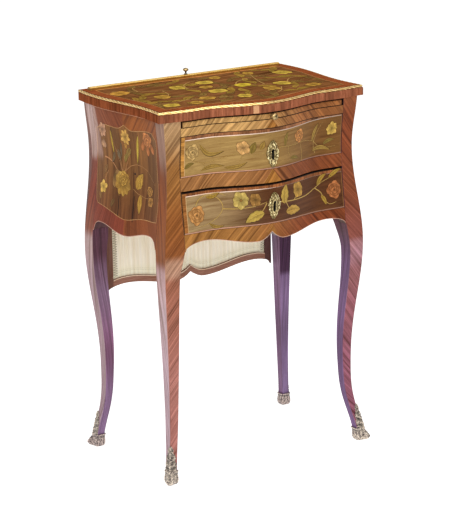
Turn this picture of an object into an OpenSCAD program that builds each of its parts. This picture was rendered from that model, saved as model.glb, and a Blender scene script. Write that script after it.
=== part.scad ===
// Lady's writing table with a rising fire screen, a writing slide and two drawers.
// Serpentine plan, waisted case, four cabriole legs in gilt shoes. Millimetres.
// X is to the right, Y runs to the back, Z is up, and the feet stand on Z = 0.

/* [Overall] */
// Height of the table surface above the floor
table_h = 700; // [690:1:730]
// Half width over the outer corners of the front knees
knee_x_front = 221.3; // [219:0.1:226]
// How much further out the back knees stand than the front ones
back_flare = 7.8; // [5:0.1:12]
// Distance from the case centre to the front knee corners
knee_y_front = 140.5; // [139:0.1:146]
// Distance from the case centre to the back knee corners
knee_y_back = 141.3; // [140:0.1:146]

/* [Leg profile] */
// Drop of the knee, the widest point of the leg, under the lower drawer
knee_drop = 70.2; // [66:0.2:78]
// Height of the ankle, the narrowest stance of the leg
ankle_z = 150; // [130:1:170]
// How far the ankle stands inside the knee, from side to side
ankle_in_side = 15.7; // [10:0.1:19]
// How far the ankle stands inside the knee, from front to back
ankle_in_deep = 19.9; // [12:0.1:22]
// How far the bottom of a front leg stands outside its knee
foot_out_front = 1.5; // [0:0.1:6]
// How far the bottom of a back leg stands inside its knee
foot_in_back = 3; // [0:0.1:8]
// Side of the square leg at the knee
knee_side = 31.6; // [28:0.1:34]
// Side of the square leg where it enters the shoe
shoe_side = 15.5; // [14:0.1:17]
// How far the case narrows at its waist
waist_in = 15.2; // [8:0.1:17]
// Drop of the waist of the case under the table surface
waist_drop = 115; // [100:1:125]
// How far the top of the case stands inside the knee
top_in = 7; // [4:0.1:12]

/* [Serpentine] */
// Bow of the front at its centre, under the table top
bow_top = 30; // [24:0.5:33]
// Bow of the front at its centre, over the drawers
bow_mid = 38; // [30:0.5:40]
// Bow of the front at its centre, along the apron
bow_low = 20; // [16:0.5:26]
// Half width of the bow
bow_half = 150; // [130:1:165]
// Swell of the front near its corners
corner_swell = 4.5; // [0:0.5:6]
// Wave of the two sides in plan
side_wave = 5.5; // [0:0.5:7]

/* [Table top] */
// Thickness of the table top
top_t = 20; // [18:0.5:22]
// Overhang of the top past the case at the front
top_over_front = 3; // [2:0.5:6]
// Overhang of the top past the case at the sides
top_over_side = 11; // [8:0.5:13]
// Height of the rope-twist moulding on the top's edge
rope_h = 5; // [4:0.5:6]
// Width of the rope-twist moulding
rope_w = 5; // [4:0.5:6]

/* [Case] */
// Width of the front posts, seen from the front
front_post_w = 42.3; // [39:0.1:46]
// Width of the back posts, seen from the back
back_post_w = 32.1; // [31:0.1:36]
// Depth of the front posts, seen from the side
front_post_d = 42.5; // [40:0.5:46]
// Depth of the back posts, seen from the side
back_post_d = 37.3; // [35:0.1:41]
// Thickness of the side panels at their waist
side_t = 15.1; // [14:0.1:18]
// Height of the front edge of the writing slide
slide_h = 11; // [9:0.5:12]
// Gap between the writing slide and the table top
slide_gap = 2.5; // [1.5:0.5:3]
// Height of the rail under the writing slide
slide_rail_h = 15.5; // [12:0.5:17]
// Height of the upper drawer's opening
upper_h = 77; // [72:0.5:80]
// Height of the rail between the drawers
mid_rail_h = 25; // [20:0.5:28]
// Height of the lower drawer's opening
lower_h = 78.5; // [72:0.5:82]
// Depth of the front rails behind their face
rail_depth = 34; // [28:1:40]
// Thickness of the thin boards inside the case
board_t = 5; // [4:0.5:6]

/* [Aprons] */
// Drop of the front apron under the lower drawer at its dips
apron_dip = 31.5; // [26:0.5:36]
// Rise of the centre point above the dips
apron_point = 16; // [8:0.5:18]
// Rise of the two arches above the dips
apron_arch = 15; // [8:0.5:18]
// Radius of the quarter rounds that end the shaped lower edges at the front
edge_round = 15; // [12:0.5:18]
// Drop of the side panel's lower edge under the lower drawer at its middle
side_dip = 23.6; // [18:0.2:30]
// Rise of the two arches of the side panel's lower edge
side_arch = 13; // [6:0.5:16]
// Radius of the quarter rounds that end the side panel's lower edge
side_round = 20; // [16:0.5:22]
// Thickness of the apron board behind its face
apron_t = 16; // [12:0.5:20]
// Height of the strip behind the apron
apron_strip_h = 12; // [10:0.5:16]
// Drop of the root of the leg's brackets under the lower drawer
bracket_drop = 30; // [24:1:36]
// Height over which a corner post thins into its leg
bracket_run = 60; // [48:1:70]

/* [Drawers] */
// Gap round a drawer front
front_gap = 0.6; // [0.4:0.1:1]
// Thickness of the drawer sides
drawer_side_t = 9; // [7:0.5:11]
// Thickness of the drawer backs
drawer_back_t = 8; // [6:0.5:10]
// Thickness of the drawer bottoms
drawer_floor_t = 5; // [4:0.5:6]
// Length of the drawer sides behind the front
drawer_len = 196; // [180:1:206]
// Gap between a drawer's side and its guide
guide_gap = 0.8; // [0.5:0.1:1.2]
// Gap over the front of the lower drawer
lower_gap = 2.6; // [0.6:0.2:3]
// Drop of the upper escutcheon below the middle of its drawer
upper_drop = 10.5; // [0:0.5:11]
// Drop of the lower escutcheon below the middle of its drawer
lower_drop = 3; // [0:0.5:11]
// Width of an escutcheon
plate_w = 30; // [26:0.5:32]
// Height of an escutcheon
plate_h = 51; // [46:0.5:54]

/* [Writing slide] */
// Space left behind the writing slide when it is pushed in
slide_rest = 20.9; // [12:0.1:48]
// Depth of the front lipping of the slide
lipping = 12; // [8:0.5:16]
// Thickness of the leather lining
leather_t = 0.8; // [0.6:0.1:1]
// Width of the wooden margin round the leather
leather_margin = 24; // [16:1:30]
// Diameter of the pull knobs
knob_d = 13; // [11:0.5:14]

/* [Fire screen] */
// Width of the side strips of the channel the screen rises in
channel_strip_w = 6.7; // [5:0.1:9]
// Thickness of the outer board of the back
outer_back_t = 5.1; // [4.5:0.1:6]
// Thickness of the screen frame
screen_t = 7; // [6:0.25:7.5]
// Drop of the dips of the screen's lower edge under the lower drawer
screen_drop = 168.7; // [158:0.1:180]
// Rise of the middle and the arches of the screen's lower edge above its dips
screen_rise = 14; // [10:0.5:18]
// Height of the screen's shaped bottom rail
screen_rail_h = 13; // [11:0.5:20]
// Height of the screen's top rail
top_rail_h = 42; // [34:1:48]
// Width of the screen's stiles
stile_w = 15; // [12:0.5:18]
// Number of pleats of the silk
pleats = 40; // [28:1:44]
// Depth of the pleats
pleat_depth = 1.3; // [0.8:0.1:1.6]
// Overhang of the brass strip on top of the screen, past each stile
strip_over = 24; // [18:0.5:26]
// Height of the brass strip
strip_h = 5.9; // [5:0.1:7]
// Width of the brass strip
strip_w = 10; // [9:0.5:11]
// Depth of the rebate in the table top that the strip lies in
rebate = 0.7; // [0.5:0.1:1.5]

/* [Shoes] */
// Height of the cup of a shoe
cup_h = 24; // [20:0.5:28]
// Thickness of the cast wall round the foot
cup_wall = 3; // [2.4:0.1:3.4]
// Height of the leaf that climbs the corner of the leg
leaf_h = 70; // [62:1:74]
// Reach of the toe past the foot
toe_reach = 9; // [4:0.5:12]

/* [Hidden] */

seat = 0.3;

// Widths and depths of the case
knee_x_back = knee_x_front + back_flare;
post_gap = knee_x_front - front_post_w;
back_gap = knee_x_back - back_post_w;
post_y_front = knee_y_front - front_post_d;
post_y_back = knee_y_back - back_post_d;
panel_gap = knee_x_front - waist_in - side_t;

// Heights of the case, from the top down
top_z = table_h - top_t;
slide_top = top_z - slide_gap;
slide_bottom = slide_top - slide_h;
slide_rail_top = slide_bottom - seat;
upper_top = slide_rail_top - slide_rail_h;
upper_bottom = upper_top - upper_h;
lower_top = upper_bottom - mid_rail_h;
lower_bottom = lower_top - lower_h;
upper_face_top = upper_top - front_gap;
lower_face_top = lower_top - lower_gap;
apron_low = lower_bottom - apron_dip;
side_low = lower_bottom - side_dip;
screen_low = lower_bottom - screen_drop;
knee_z = lower_bottom - knee_drop;
waist_z = table_h - waist_drop;
bracket_z = lower_bottom - bracket_drop;
fade_z = bracket_z - bracket_run;

// Depths of the case, from the front back
box_y = -(knee_y_front - waist_in) + 12;
rail_back_y = box_y + rail_depth / 2;
apron_back_y = -knee_y_front + 2 + apron_t;
drawer_back_y = box_y + drawer_len;
back_face_y = knee_y_back;
channel_back = back_face_y - outer_back_t;
screen_y = channel_back - 0.4 - screen_t;
channel_front = screen_y - 0.4;
inner_back_y = channel_front - board_t - 2;
slide_back_y = inner_back_y - slide_rest;
screen_half = back_gap - channel_strip_w - seat;
strip_half = screen_half + strip_over;

// Share of a step from 0 to 1, level at both ends; a power above 1 delays it
function ease(t, p = 1) = (1 - cos(180 * pow(max(0, min(1, t)), p))) / 2;
function mix(a, b, t) = a + (b - a) * t;

// How far the corner line of leg and case lies inside the knee at a height
function inset(z, ankle_in, at_foot) =
  z < ankle_z ? mix(ankle_in, at_foot, ease((ankle_z - z) / ankle_z, 1.4)) :
  z < knee_z ? ankle_in * (1 - ease((z - ankle_z) / (knee_z - ankle_z), 1.16)) :
  z < waist_z ? waist_in * ease((z - knee_z) / (waist_z - knee_z)) :
  mix(waist_in, top_in, ease((z - waist_z) / (table_h - waist_z)));
function foot_in(back) = back ? foot_in_back : -foot_out_front;
function corner_x(z, back) =
  (back ? knee_x_back : knee_x_front) - inset(z, ankle_in_side, foot_in(back));
function corner_y(z, back) =
  (back ? knee_y_back : knee_y_front) - inset(z, ankle_in_deep, foot_in(back));

// Bow of the front at a height, and its shape across the width
function bow(z) =
  z < waist_z - 60 ? mix(bow_low, bow_mid, ease((z - bracket_z) / (waist_z - 60 - bracket_z))) :
  mix(bow_mid, bow_top, ease((z - waist_z) / (table_h - waist_z)));
swell_half = (knee_x_front - bow_half * 2 / 3) / 2;
function front_plan(x, z) =
  bow(z) * (1 - ease(abs(x) / bow_half))
  + corner_swell * ease(1 - abs(abs(x) - knee_x_front + swell_half) / swell_half);
function fade(z) = ease((z - fade_z) / (bracket_z - fade_z));
function front_out(x, z) = corner_y(z, false) + front_plan(x, z) * fade(z);

// Outward reach of the side at a depth y and a height z
side_span = knee_y_front + knee_y_back;
function side_out(y, z) =
  mix(corner_x(z, false), corner_x(z, true), (y + knee_y_front) / side_span)
  - side_wave * sin(360 * (y + knee_y_front) / side_span) * fade(z);

// Lower edge with a centre point, two dips and two arches, ending in brackets
function ogee_edge(x, low, point, arch, half) =
  let (a = abs(x), dip_x = half / 6, arch_x = half * 0.76)
  a < dip_x ? low + point * pow(1 - a / dip_x, 2) :
  a < arch_x ? low + arch * ease((a - dip_x) / (arch_x - dip_x)) :
  low + arch - edge_round * (1 - sqrt(1 - pow((a - arch_x) / (half - arch_x), 2)));
function side_edge(y) =
  let (run = (post_y_front + post_y_back) / 2 - side_round - 3,
    a = abs(y - (post_y_back - post_y_front) / 2 + 1), past = min(a - run, side_round))
  side_low + side_arch * (1 - cos(360 * min(a, run) / (2 * run - 12))) / 2
  - (a > run ? side_round - sqrt(max(0, side_round * side_round - past * past)) : 0);

// Block with a curved outer face. Rows run up, columns run to the right; the inner
// face is flat, between a lower and an upper row of points.
module skin_block(outer, inner_low, inner_high) {
  rows = len(outer) - 1;
  cols = len(outer[0]) - 1;
  half_way = floor((rows + 1) / 2);
  low = (rows + 1) * (cols + 1);
  high = low + cols + 1;
  function at(i, j) = j * (cols + 1) + i;
  function quad(a, b, c, d) = [[a, b, c], [a, c, d]];
  polyhedron(points = concat([for (row = outer) each row], inner_low, inner_high),
    convexity = 6, faces = concat(
      [for (j = [0:rows - 1], i = [0:cols - 1])
        each quad(at(i, j), at(i, j + 1), at(i + 1, j + 1), at(i + 1, j))],
      [for (i = [0:cols - 1]) each concat(
        quad(at(i, 0), at(i + 1, 0), low + i + 1, low + i),
        quad(high + i + 1, high + i, low + i, low + i + 1),
        quad(high + i, high + i + 1, at(i + 1, rows), at(i, rows)))],
      [for (j = [0:rows - 1]) let (apex = j < half_way ? 0 : high - low) each [
        [low + apex, at(0, j + 1), at(0, j)],
        [low + cols + apex, at(cols, j), at(cols, j + 1)]]],
      [[high, at(0, half_way), low], [high + cols, low + cols, at(cols, half_way)]]));
}

// Solid through a stack of level rings, each with as many points, anticlockwise
module ring_loft(rings) {
  n = len(rings[0]);
  last = len(rings) - 1;
  polyhedron(points = [for (r = rings) each r], convexity = 4, faces = concat(
    [for (j = [0:last - 1], i = [0:n - 1])
      let (a = j * n + i, b = j * n + (i + 1) % n) each [[a, a + n, b + n], [a, b + n, b]]],
    [[for (i = [0:n - 1]) i]],
    [[for (i = [n - 1:-1:0]) last * n + i]]));
}

// Piece of the serpentine front between two heights
module front_block(half, z_low, z_high, inner, cols, rows, edge = false) {
  function low(x) = edge ? ogee_edge(x, apron_low, apron_point, apron_arch, half) : z_low;
  xs = [for (i = [0:cols]) -half + 2 * half * i / cols];
  skin_block(
    [for (j = [0:rows]) [for (x = xs)
      let (z = mix(low(x), z_high, j / rows)) [x, -front_out(x, z), z]]],
    [for (x = xs) [x, inner, low(x)]],
    [for (x = xs) [x, inner, z_high]]);
}

// Table top in plan, drawn in by a margin
top_corner_x = corner_x(top_z, false) + top_over_side;
top_back_x = corner_x(top_z, true) + top_over_side - 5;
top_corner_y = corner_y(top_z, false) + top_over_front;
top_back_y = knee_y_back + 7.5;
function top_side(t, margin) =
  let (y = mix(-top_corner_y, top_back_y, t))
  [mix(top_corner_x, top_back_x, t) - side_wave * sin(360 * t) - margin, y];
function top_outline(margin) = concat(
  [for (i = [-24:24]) let (x = (top_corner_x - margin) * i / 24)
    [x, -(top_corner_y + front_plan(x, table_h) - margin)]],
  [for (i = [1:24]) let (p = top_side(i / 24, margin)) [p[0], min(p[1], top_back_y)]],
  [for (i = [24:-1:1]) let (p = top_side(i / 24, margin)) [-p[0], min(p[1], top_back_y)]]);

module top_panel() {
  color("#5a2f1e") translate([0, 0, top_z]) difference() {
    union() {
      linear_extrude(top_t - rope_h) polygon(top_outline(0));
      linear_extrude(top_t) polygon(top_outline(rope_w));
    }
    translate([-screen_half - 1.2, channel_front, -1])
      cube([2 * screen_half + 2.4, channel_back - channel_front, top_t + 2]);
    translate([-strip_half - 2 * seat, screen_y + (screen_t - strip_w) / 2 - 2 * seat, top_t - rebate])
      cube([2 * strip_half + 4 * seat, strip_w + 4 * seat, rebate + 1]);
  }
}

// Twisted moulding: a bead whose face rises and falls with the strands of the rope
module top_moulding() {
  color("#b08a3c") translate([0, 0, table_h - rope_h]) difference() {
    union() {
      linear_extrude(rope_h * 0.28) polygon(top_outline(rope_w * 0.16));
      translate([0, 0, rope_h * 0.28]) linear_extrude(rope_h * 0.44) polygon(top_outline(0));
      translate([0, 0, rope_h * 0.72]) linear_extrude(rope_h * 0.28)
        polygon(top_outline(rope_w * 0.2));
    }
    translate([0, 0, -1]) linear_extrude(rope_h + 2) polygon(top_outline(rope_w));
    translate([-2 * top_back_x, top_back_y - rope_w, -1])
      cube([4 * top_back_x, 3 * rope_w, rope_h + 2]);
  }
}

// Side of the leg's square section at a height
function leg_side(z) = mix(shoe_side, knee_side, pow(max(0, (z - 50) / (knee_z - 50)), 1.3));
function bracket(z) = pow(max(0, min(1, (z - fade_z) / (bracket_z - fade_z))), 2);
function inner_x(z, back) =
  let (leg = corner_x(min(z, knee_z + 20), back) - leg_side(min(z, knee_z + 20)))
  mix(leg, back ? back_gap : post_gap, bracket(z));
function inner_y(z, back) =
  let (leg = corner_y(min(z, knee_z + 20), back) - leg_side(min(z, knee_z + 20)))
  mix(leg, back ? post_y_back : post_y_front, bracket(z));

// Section of leg or post, seen from above, for the corner with positive x and y.
// At a front corner the depth is counted towards the front.
function post_ring(z, back) =
  let (xi = inner_x(z, back), yi = inner_y(z, back), xc = corner_x(z, back),
    yc = corner_y(z, back), sign = back ? 1 : -1,
    y_mid = (yi + yc) / 2, x_mid = (xi + xc) / 2,
    back_y = mix(yc, max(yc, back_face_y), fade(z)))
  [[xi, yi, z],
   [side_out(sign * yi, z), yi, z],
   [side_out(sign * y_mid, z), y_mid, z],
   [xc, yc, z],
   [x_mid, back ? (yc + back_y) / 2 : front_out(x_mid, z), z],
   [xi, back ? back_y : front_out(xi, z), z]];

leg_bottom = 8;
leg_rings = 30;
module post(back) {
  ring_loft([for (i = [0:leg_rings])
    post_ring(mix(leg_bottom, top_z, i / leg_rings), back)]);
}
module at_corner(right, back) {
  mirror([right ? 0 : 1, 0, 0]) mirror([0, back ? 0 : 1, 0]) children();
}
module leg(right, back) {
  color("#7b4630") at_corner(right, back) post(back);
}

// Shoe: a cup with a turned-up toe on the diagonal and a leaf that climbs the corner.
// Each level gives height, wall and reach of the toe past the wall.
cup_levels = [[0, 0.35, 0.4], [0.1, 0.85, 0.78], [0.24, 1.1, 1], [0.4, 1.12, 0.86], [0.56, 0.98, 0.6],
  [0.7, 0.78, 0.4], [0.82, 0.72, 0.26], [0.92, 1.1, 0.12], [1, 1.25, 0], [1.05, 0.6, 0]];
// Each level gives height, width on each face of the leg and thickness of the leaf.
leaf_levels = [[0, 0.9, 0.85], [0.1, 0.93, 1], [0.2, 0.86, 0.8], [0.32, 0.9, 0.95], [0.42, 0.68, 0.7],
  [0.53, 0.76, 0.92], [0.64, 0.6, 0.85], [0.75, 0.38, 0.65], [0.84, 0.4, 0.85], [0.93, 0.24, 0.8],
  [1, 0.08, 0.9]];
function cup_ring(level, back) =
  let (z = cup_h * level[0], half = leg_side(z) / 2, r = half + cup_wall * level[1],
    x = corner_x(z, back) - half, y = corner_y(z, back) - half)
  [for (i = [0:19]) let (a = 18 * i,
      reach = r / pow(pow(abs(cos(a)), 5) + pow(abs(sin(a)), 5), 0.2)
        + toe_reach * level[2] * pow(max(0, cos(a - 45)), 7))
    [x + reach * cos(a), y + reach * sin(a), z]];
function leaf_ring(level, back) =
  let (z = mix(cup_h - 3, leaf_h, level[0]), w = leg_side(z) * level[1], t = cup_wall * level[2],
    x = corner_x(z, back), y = corner_y(z, back))
  [[x - w, y - w, z], [x + t * 0.4, y - w, z], [x + t, y - w * 0.5, z],
   [x + t * 0.9, y + t * 0.9, z], [x - w * 0.5, y + t, z], [x - w, y + t * 0.4, z]];
module sabot(right, back) {
  color("#a3905f") at_corner(right, back) difference() {
    union() {
      ring_loft([for (level = cup_levels) cup_ring(level, back)]);
      ring_loft([for (level = leaf_levels) leaf_ring(level, back)]);
    }
    ring_loft([for (i = [0:3]) post_ring(mix(leg_bottom, top_z, i / leg_rings), back)]);
  }
}

// Side panel between the posts, with its shaped lower edge
module side_panel(right) {
  cols = 20;
  rows = 7;
  ys = [for (i = [0:cols]) mix(post_y_back, -post_y_front, i / cols)];
  color("#8a5a35") mirror([right ? 1 : 0, 0, 0]) rotate([0, 0, -90]) skin_block(
    [for (j = [0:rows]) [for (y = ys)
      let (z = mix(side_edge(y), top_z, j / rows)) [-y, -side_out(y, z), z]]],
    [for (y = ys) [-y, -panel_gap, side_edge(y)]],
    [for (y = ys) [-y, -panel_gap, top_z]]);
}

// Front rails and apron
module slide_rail() {
  color("#9c6238") front_block(post_gap, upper_top, slide_rail_top, rail_back_y, 32, 1);
}
module drawer_rail() {
  color("#9c6238") front_block(post_gap, lower_top, upper_bottom, rail_back_y, 32, 2);
}
module front_apron() {
  color("#a0622f") front_block(post_gap, apron_low, lower_bottom, apron_back_y, 48, 3, edge = true);
}
module bottom_rail() {
  color("#a98560") translate([-post_gap, apron_back_y, lower_bottom - apron_strip_h])
    cube([2 * post_gap, rail_back_y - apron_back_y, apron_strip_h]);
}

// Back of the case: an inner board, the channel of the screen and an outer board
module inner_back_panel() {
  color("#6b4a33") translate([-back_gap, inner_back_y, lower_bottom - 8])
    cube([2 * back_gap, channel_front - inner_back_y, top_z - lower_bottom + 8]);
}
module outer_back_panel() {
  steps = 32;
  half = back_gap;
  color("#7b4a30") translate([0, back_face_y, 0]) rotate([90, 0, 0])
    linear_extrude(back_face_y - channel_back) polygon(concat(
      [for (i = [0:steps]) let (x = -half + 2 * half * i / steps)
        [x, ogee_edge(x, apron_low, apron_point, apron_arch, half)]],
      [[half, top_z], [-half, top_z]]));
}
module screen_guides() {
  color("#8a6a48") for (side = [0, 1]) mirror([side, 0, 0])
    translate([screen_half + seat, channel_front, lower_bottom - 8])
      cube([back_gap - screen_half - seat, channel_back - channel_front,
        top_z - lower_bottom + 8]);
}

// Thin boards between the storeys of the case
module case_board(z, front, back) {
  translate([-panel_gap, front, z]) cube([2 * panel_gap, back - front, board_t]);
}
module slide_bed() {
  color("#a98560") case_board(slide_rail_top - board_t, rail_back_y, inner_back_y);
}
module dust_board() {
  color("#a98560") case_board(upper_bottom - board_t, rail_back_y, inner_back_y);
}
module bottom_board() {
  color("#a98560") case_board(lower_bottom - board_t, rail_back_y, inner_back_y);
}

// Strips that carry and guide the slide and the drawers
drawer_half = post_gap - front_gap - 1.5;
module guide_strips(z_low, z_high) {
  for (side = [0, 1]) mirror([side, 0, 0])
    translate([drawer_half + guide_gap, rail_back_y, z_low])
      cube([panel_gap - drawer_half - guide_gap, inner_back_y - rail_back_y, z_high - z_low]);
}
slide_half = post_gap - 4;
module slide_runners() {
  color("#9b7a55") for (side = [0, 1]) mirror([side, 0, 0])
    translate([slide_half + guide_gap, -post_y_front, slide_rail_top])
      cube([panel_gap - slide_half - guide_gap, inner_back_y + post_y_front, top_z - slide_rail_top]);
}
module upper_drawer_guides() {
  color("#9b7a55") guide_strips(upper_bottom, slide_rail_top - board_t);
}
module lower_drawer_guides() {
  color("#9b7a55") guide_strips(lower_bottom, upper_bottom - board_t);
}
module drawer_stops() {
  color("#9b7a55") for (side = [-1, 1], z = [lower_bottom, upper_bottom])
    translate([side * post_gap * 0.6 - 10, box_y + seat, z]) cube([20, 8, box_low - 0.5]);
}
module corner_blocks() {
  size = 16;
  h = 6;
  color("#9b7a55") for (side = [0, 1], y = [-post_y_front + 6, post_y_back - 26 - size])
    mirror([side, 0, 0]) translate([panel_gap - size, y, lower_bottom - board_t - h])
      cube([size, 2 * size, h]);
}

// Writing slide
lip_y = -(knee_y_front - top_in);
function slide_front(x) = -front_out(x, slide_bottom + slide_h / 2) + 1;
module slide_lipping() {
  steps = 32;
  color("#8d5330") translate([0, 0, slide_bottom]) linear_extrude(slide_h) polygon(concat(
    [for (i = [0:steps]) let (x = -slide_half + 2 * slide_half * i / steps) [x, slide_front(x)]],
    [[slide_half, lip_y + lipping], [-slide_half, lip_y + lipping]]));
}
module slide_board() {
  color("#7a4b2e") difference() {
    translate([-slide_half, lip_y + lipping, slide_bottom])
      cube([2 * slide_half, slide_back_y - lip_y - lipping, slide_h - 0.5]);
    translate([-slide_half + leather_margin, lip_y + lipping + leather_margin / 2,
      slide_top - 0.5 - leather_t])
      cube([2 * (slide_half - leather_margin),
        slide_back_y - lip_y - lipping - leather_margin * 1.5, leather_t + 1]);
  }
}
module slide_leather() {
  color("#3c5a40") translate([-slide_half + leather_margin + seat,
    lip_y + lipping + leather_margin / 2 + seat, slide_top - 0.5 - leather_t])
    cube([2 * (slide_half - leather_margin - seat),
      slide_back_y - lip_y - lipping - leather_margin * 1.5 - 2 * seat, leather_t]);
}

// Turned knob: a stem, a collar and a ball, along +Z from its seat
module turned_knob(d) {
  $fn = 40;
  rotate_extrude() intersection() {
    union() {
      translate([0, 0]) square([d * 0.34, d * 0.12]);
      translate([0, 0]) square([d * 0.2, d * 0.5]);
      translate([0, d * 0.62]) circle(r = d / 2);
    }
    square([d, 2 * d]);
  }
}
module slide_knob() {
  color("#b08a3c") translate([0, slide_front(0), slide_bottom + slide_h / 2])
    rotate([90, 0, 0]) turned_knob(knob_d);
}

// Drawers: a thick shaped front, two sides, a back and a bottom
module drawer_face(z_low, z_high) {
  front_block(post_gap - front_gap, z_low + front_gap, z_high, box_y, 32, 3);
}
module drawer_front(z_low, z_high, drop) {
  color("#a87440") difference() {
    drawer_face(z_low, z_high);
    keyhole(plate_z(z_low, z_high, drop));
  }
}
function plate_z(z_low, z_high, drop) = (z_low + z_high) / 2 - drop;
module keyhole(z) {
  depth = bow_mid + rail_depth;
  translate([0, box_y + 1, z]) rotate([90, 0, 0]) {
    translate([0, 6, 0]) cylinder(d = 5, h = depth, $fn = 32);
    translate([-1.6, -10, 0]) cube([3.2, 16, depth]);
  }
}
box_low = 3;
box_high = 9;
module drawer_side(z_low, z_high, right) {
  color("#b08c62") mirror([right ? 0 : 1, 0, 0])
    translate([drawer_half - drawer_side_t, box_y, z_low + seat])
      cube([drawer_side_t, drawer_len, z_high - z_low - box_high]);
}
inner_half = drawer_half - drawer_side_t;
module drawer_back(z_low, z_high) {
  color("#b08c62") translate([-inner_half, drawer_back_y - drawer_back_t,
    z_low + box_low + drawer_floor_t])
    cube([2 * inner_half, drawer_back_t, z_high - z_low - box_high - box_low - drawer_floor_t]);
}
module drawer_bottom(z_low) {
  color("#c3a47c") translate([-inner_half, box_y, z_low + box_low])
    cube([2 * inner_half, drawer_len, drawer_floor_t]);
}

// Cast keyhole plate: a scalloped oval with a small crest, bent to the drawer front
function lobe(t, at, spread) = exp(-pow((t - at) / spread, 2));
function plate_half(t) =
  plate_w / 2 * (0.86 * pow(max(0, 1 - t * t), 0.6) + 0.12 * lobe(t, 0.12, 0.2)
    + 0.06 * lobe(t, 0.52, 0.08) + 0.06 * lobe(t, -0.3, 0.09) + 0.08 * lobe(t, -0.66, 0.1)
    + 0.06 * lobe(t, -1, 0.1));
module cartouche() {
  steps = 44;
  ts = [for (i = [1:steps - 1]) 2 * i / steps - 1];
  polygon(concat([[0, -plate_h / 2]], [for (t = ts) [plate_half(t), t * plate_h / 2]],
    [[0, plate_h / 2]], [for (i = [steps - 2:-1:0]) [-plate_half(ts[i]), ts[i] * plate_h / 2]]));
}
module escutcheon(z_low, z_high, drop) {
  mid = plate_z(z_low, z_high, drop);
  color("#b08a3c") difference() {
    translate([0, -front_out(0, mid) + 3, mid]) rotate([90, 0, 0]) linear_extrude(6) cartouche();
    keyhole(mid);
    drawer_face(z_low, z_high);
  }
}
module lock(z_low, z_high, drop) {
  w = 46;
  t = 7;
  low = plate_z(z_low, z_high, drop) - 16;
  color("#8f8f8a") difference() {
    union() {
      translate([-w / 2, box_y, low]) cube([w, t, z_high - front_gap - 1 - low]);
      translate([-w / 2 - 5, box_y, low + 8]) cube([w + 10, 1.5, 22]);
    }
    for (side = [-1, 1]) translate([side * (w / 2 + 2.5), box_y - 1, low + 19])
      rotate([-90, 0, 0]) cylinder(d = 2.2, h = 4, $fn = 24);
  }
}

module upper_front() {
  drawer_front(upper_bottom, upper_face_top, upper_drop);
}
module lower_front() {
  drawer_front(lower_bottom, lower_face_top, lower_drop);
}
module upper_plate() {
  escutcheon(upper_bottom, upper_face_top, upper_drop);
}
module lower_plate() {
  escutcheon(lower_bottom, lower_face_top, lower_drop);
}

// Fire screen
frame_top = table_h - rebate + seat;
silk_top = table_h - top_rail_h;
function screen_edge(x) = ogee_edge(x, screen_low, screen_rise, screen_rise, screen_half);
sight_half = screen_half - stile_w;
module screen_stile(right) {
  color("#7a5238") mirror([right ? 0 : 1, 0, 0]) translate([0, screen_y + screen_t, 0])
    rotate([90, 0, 0]) linear_extrude(screen_t) polygon(concat(
      [for (i = [0:6]) let (x = mix(sight_half, screen_half, i / 6)) [x, screen_edge(x)]],
      [[screen_half, frame_top], [sight_half, frame_top]]));
}
module screen_top_rail() {
  color("#7a5238") translate([-sight_half, screen_y, silk_top])
    cube([2 * sight_half, screen_t, frame_top - silk_top]);
}
module screen_bottom_rail() {
  steps = 44;
  xs = [for (i = [0:steps]) mix(-sight_half, sight_half, i / steps)];
  color("#7a5238") translate([0, screen_y + screen_t, 0]) rotate([90, 0, 0])
    linear_extrude(screen_t) polygon(concat(
      [for (x = xs) [x, screen_edge(x)]],
      [for (i = [steps:-1:0]) [xs[i], silk_edge(xs[i])]]));
}
function silk_edge(x) = screen_edge(x) + screen_rail_h;
module screen_strip() {
  w = strip_w / 2;
  slope = strip_w / 5;
  color("#c8a24a") translate([-strip_half, screen_y + screen_t / 2, frame_top])
    rotate([90, 0, 90]) linear_extrude(2 * strip_half) polygon([[-w, 0], [w, 0],
      [w, strip_h - slope], [w - slope, strip_h], [slope - w, strip_h], [-w, strip_h - slope]]);
}
module screen_knob() {
  color("#b08a3c") translate([0, screen_y + screen_t / 2, frame_top + strip_h])
    turned_knob(knob_d * 0.86);
}

// Silk in standing pleats, gathered between the two rails
module screen_silk() {
  per = 4;
  n = pleats * per;
  cloth = 0.9;
  half = sight_half - seat;
  mid = screen_y + screen_t / 2 - 0.4;
  xs = [for (i = [0:n]) mix(-half, half, i / n)];
  function fold(i) = -pleat_depth * cos(360 * i / per) * (1 + 0.3 * sin(70 * floor(i / per)));
  function face(z_of, dy) = [for (i = [0:n]) [xs[i], mid + dy + fold(i), z_of(xs[i])]];
  function low(x) = silk_edge(x) + seat;
  function high(x) = silk_top - seat;
  points = concat(face(function(x) low(x), 0), face(function(x) high(x), 0),
    face(function(x) low(x), cloth), face(function(x) high(x), cloth));
  m = n + 1;
  color("#e6dcc0") polyhedron(points = points, convexity = 8, faces = concat(
    [for (i = [0:n - 1]) each [
      [i, m + i, m + i + 1], [i, m + i + 1, i + 1],
      [2 * m + i, 2 * m + i + 1, 3 * m + i + 1], [2 * m + i, 3 * m + i + 1, 3 * m + i],
      [i, i + 1, 2 * m + i + 1], [i, 2 * m + i + 1, 2 * m + i],
      [m + i, 3 * m + i, 3 * m + i + 1], [m + i, 3 * m + i + 1, m + i + 1]]],
    [[0, 2 * m, 3 * m, m], [n, m + n, 3 * m + n, 2 * m + n]]));
}

// The origin is under the middle of the whole table
front_reach = -slide_front(0) + knob_d * 1.12;
shift_y = (front_reach - top_back_y) / 2;
module placed() {
  translate([0, shift_y, 0]) children();
}

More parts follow.
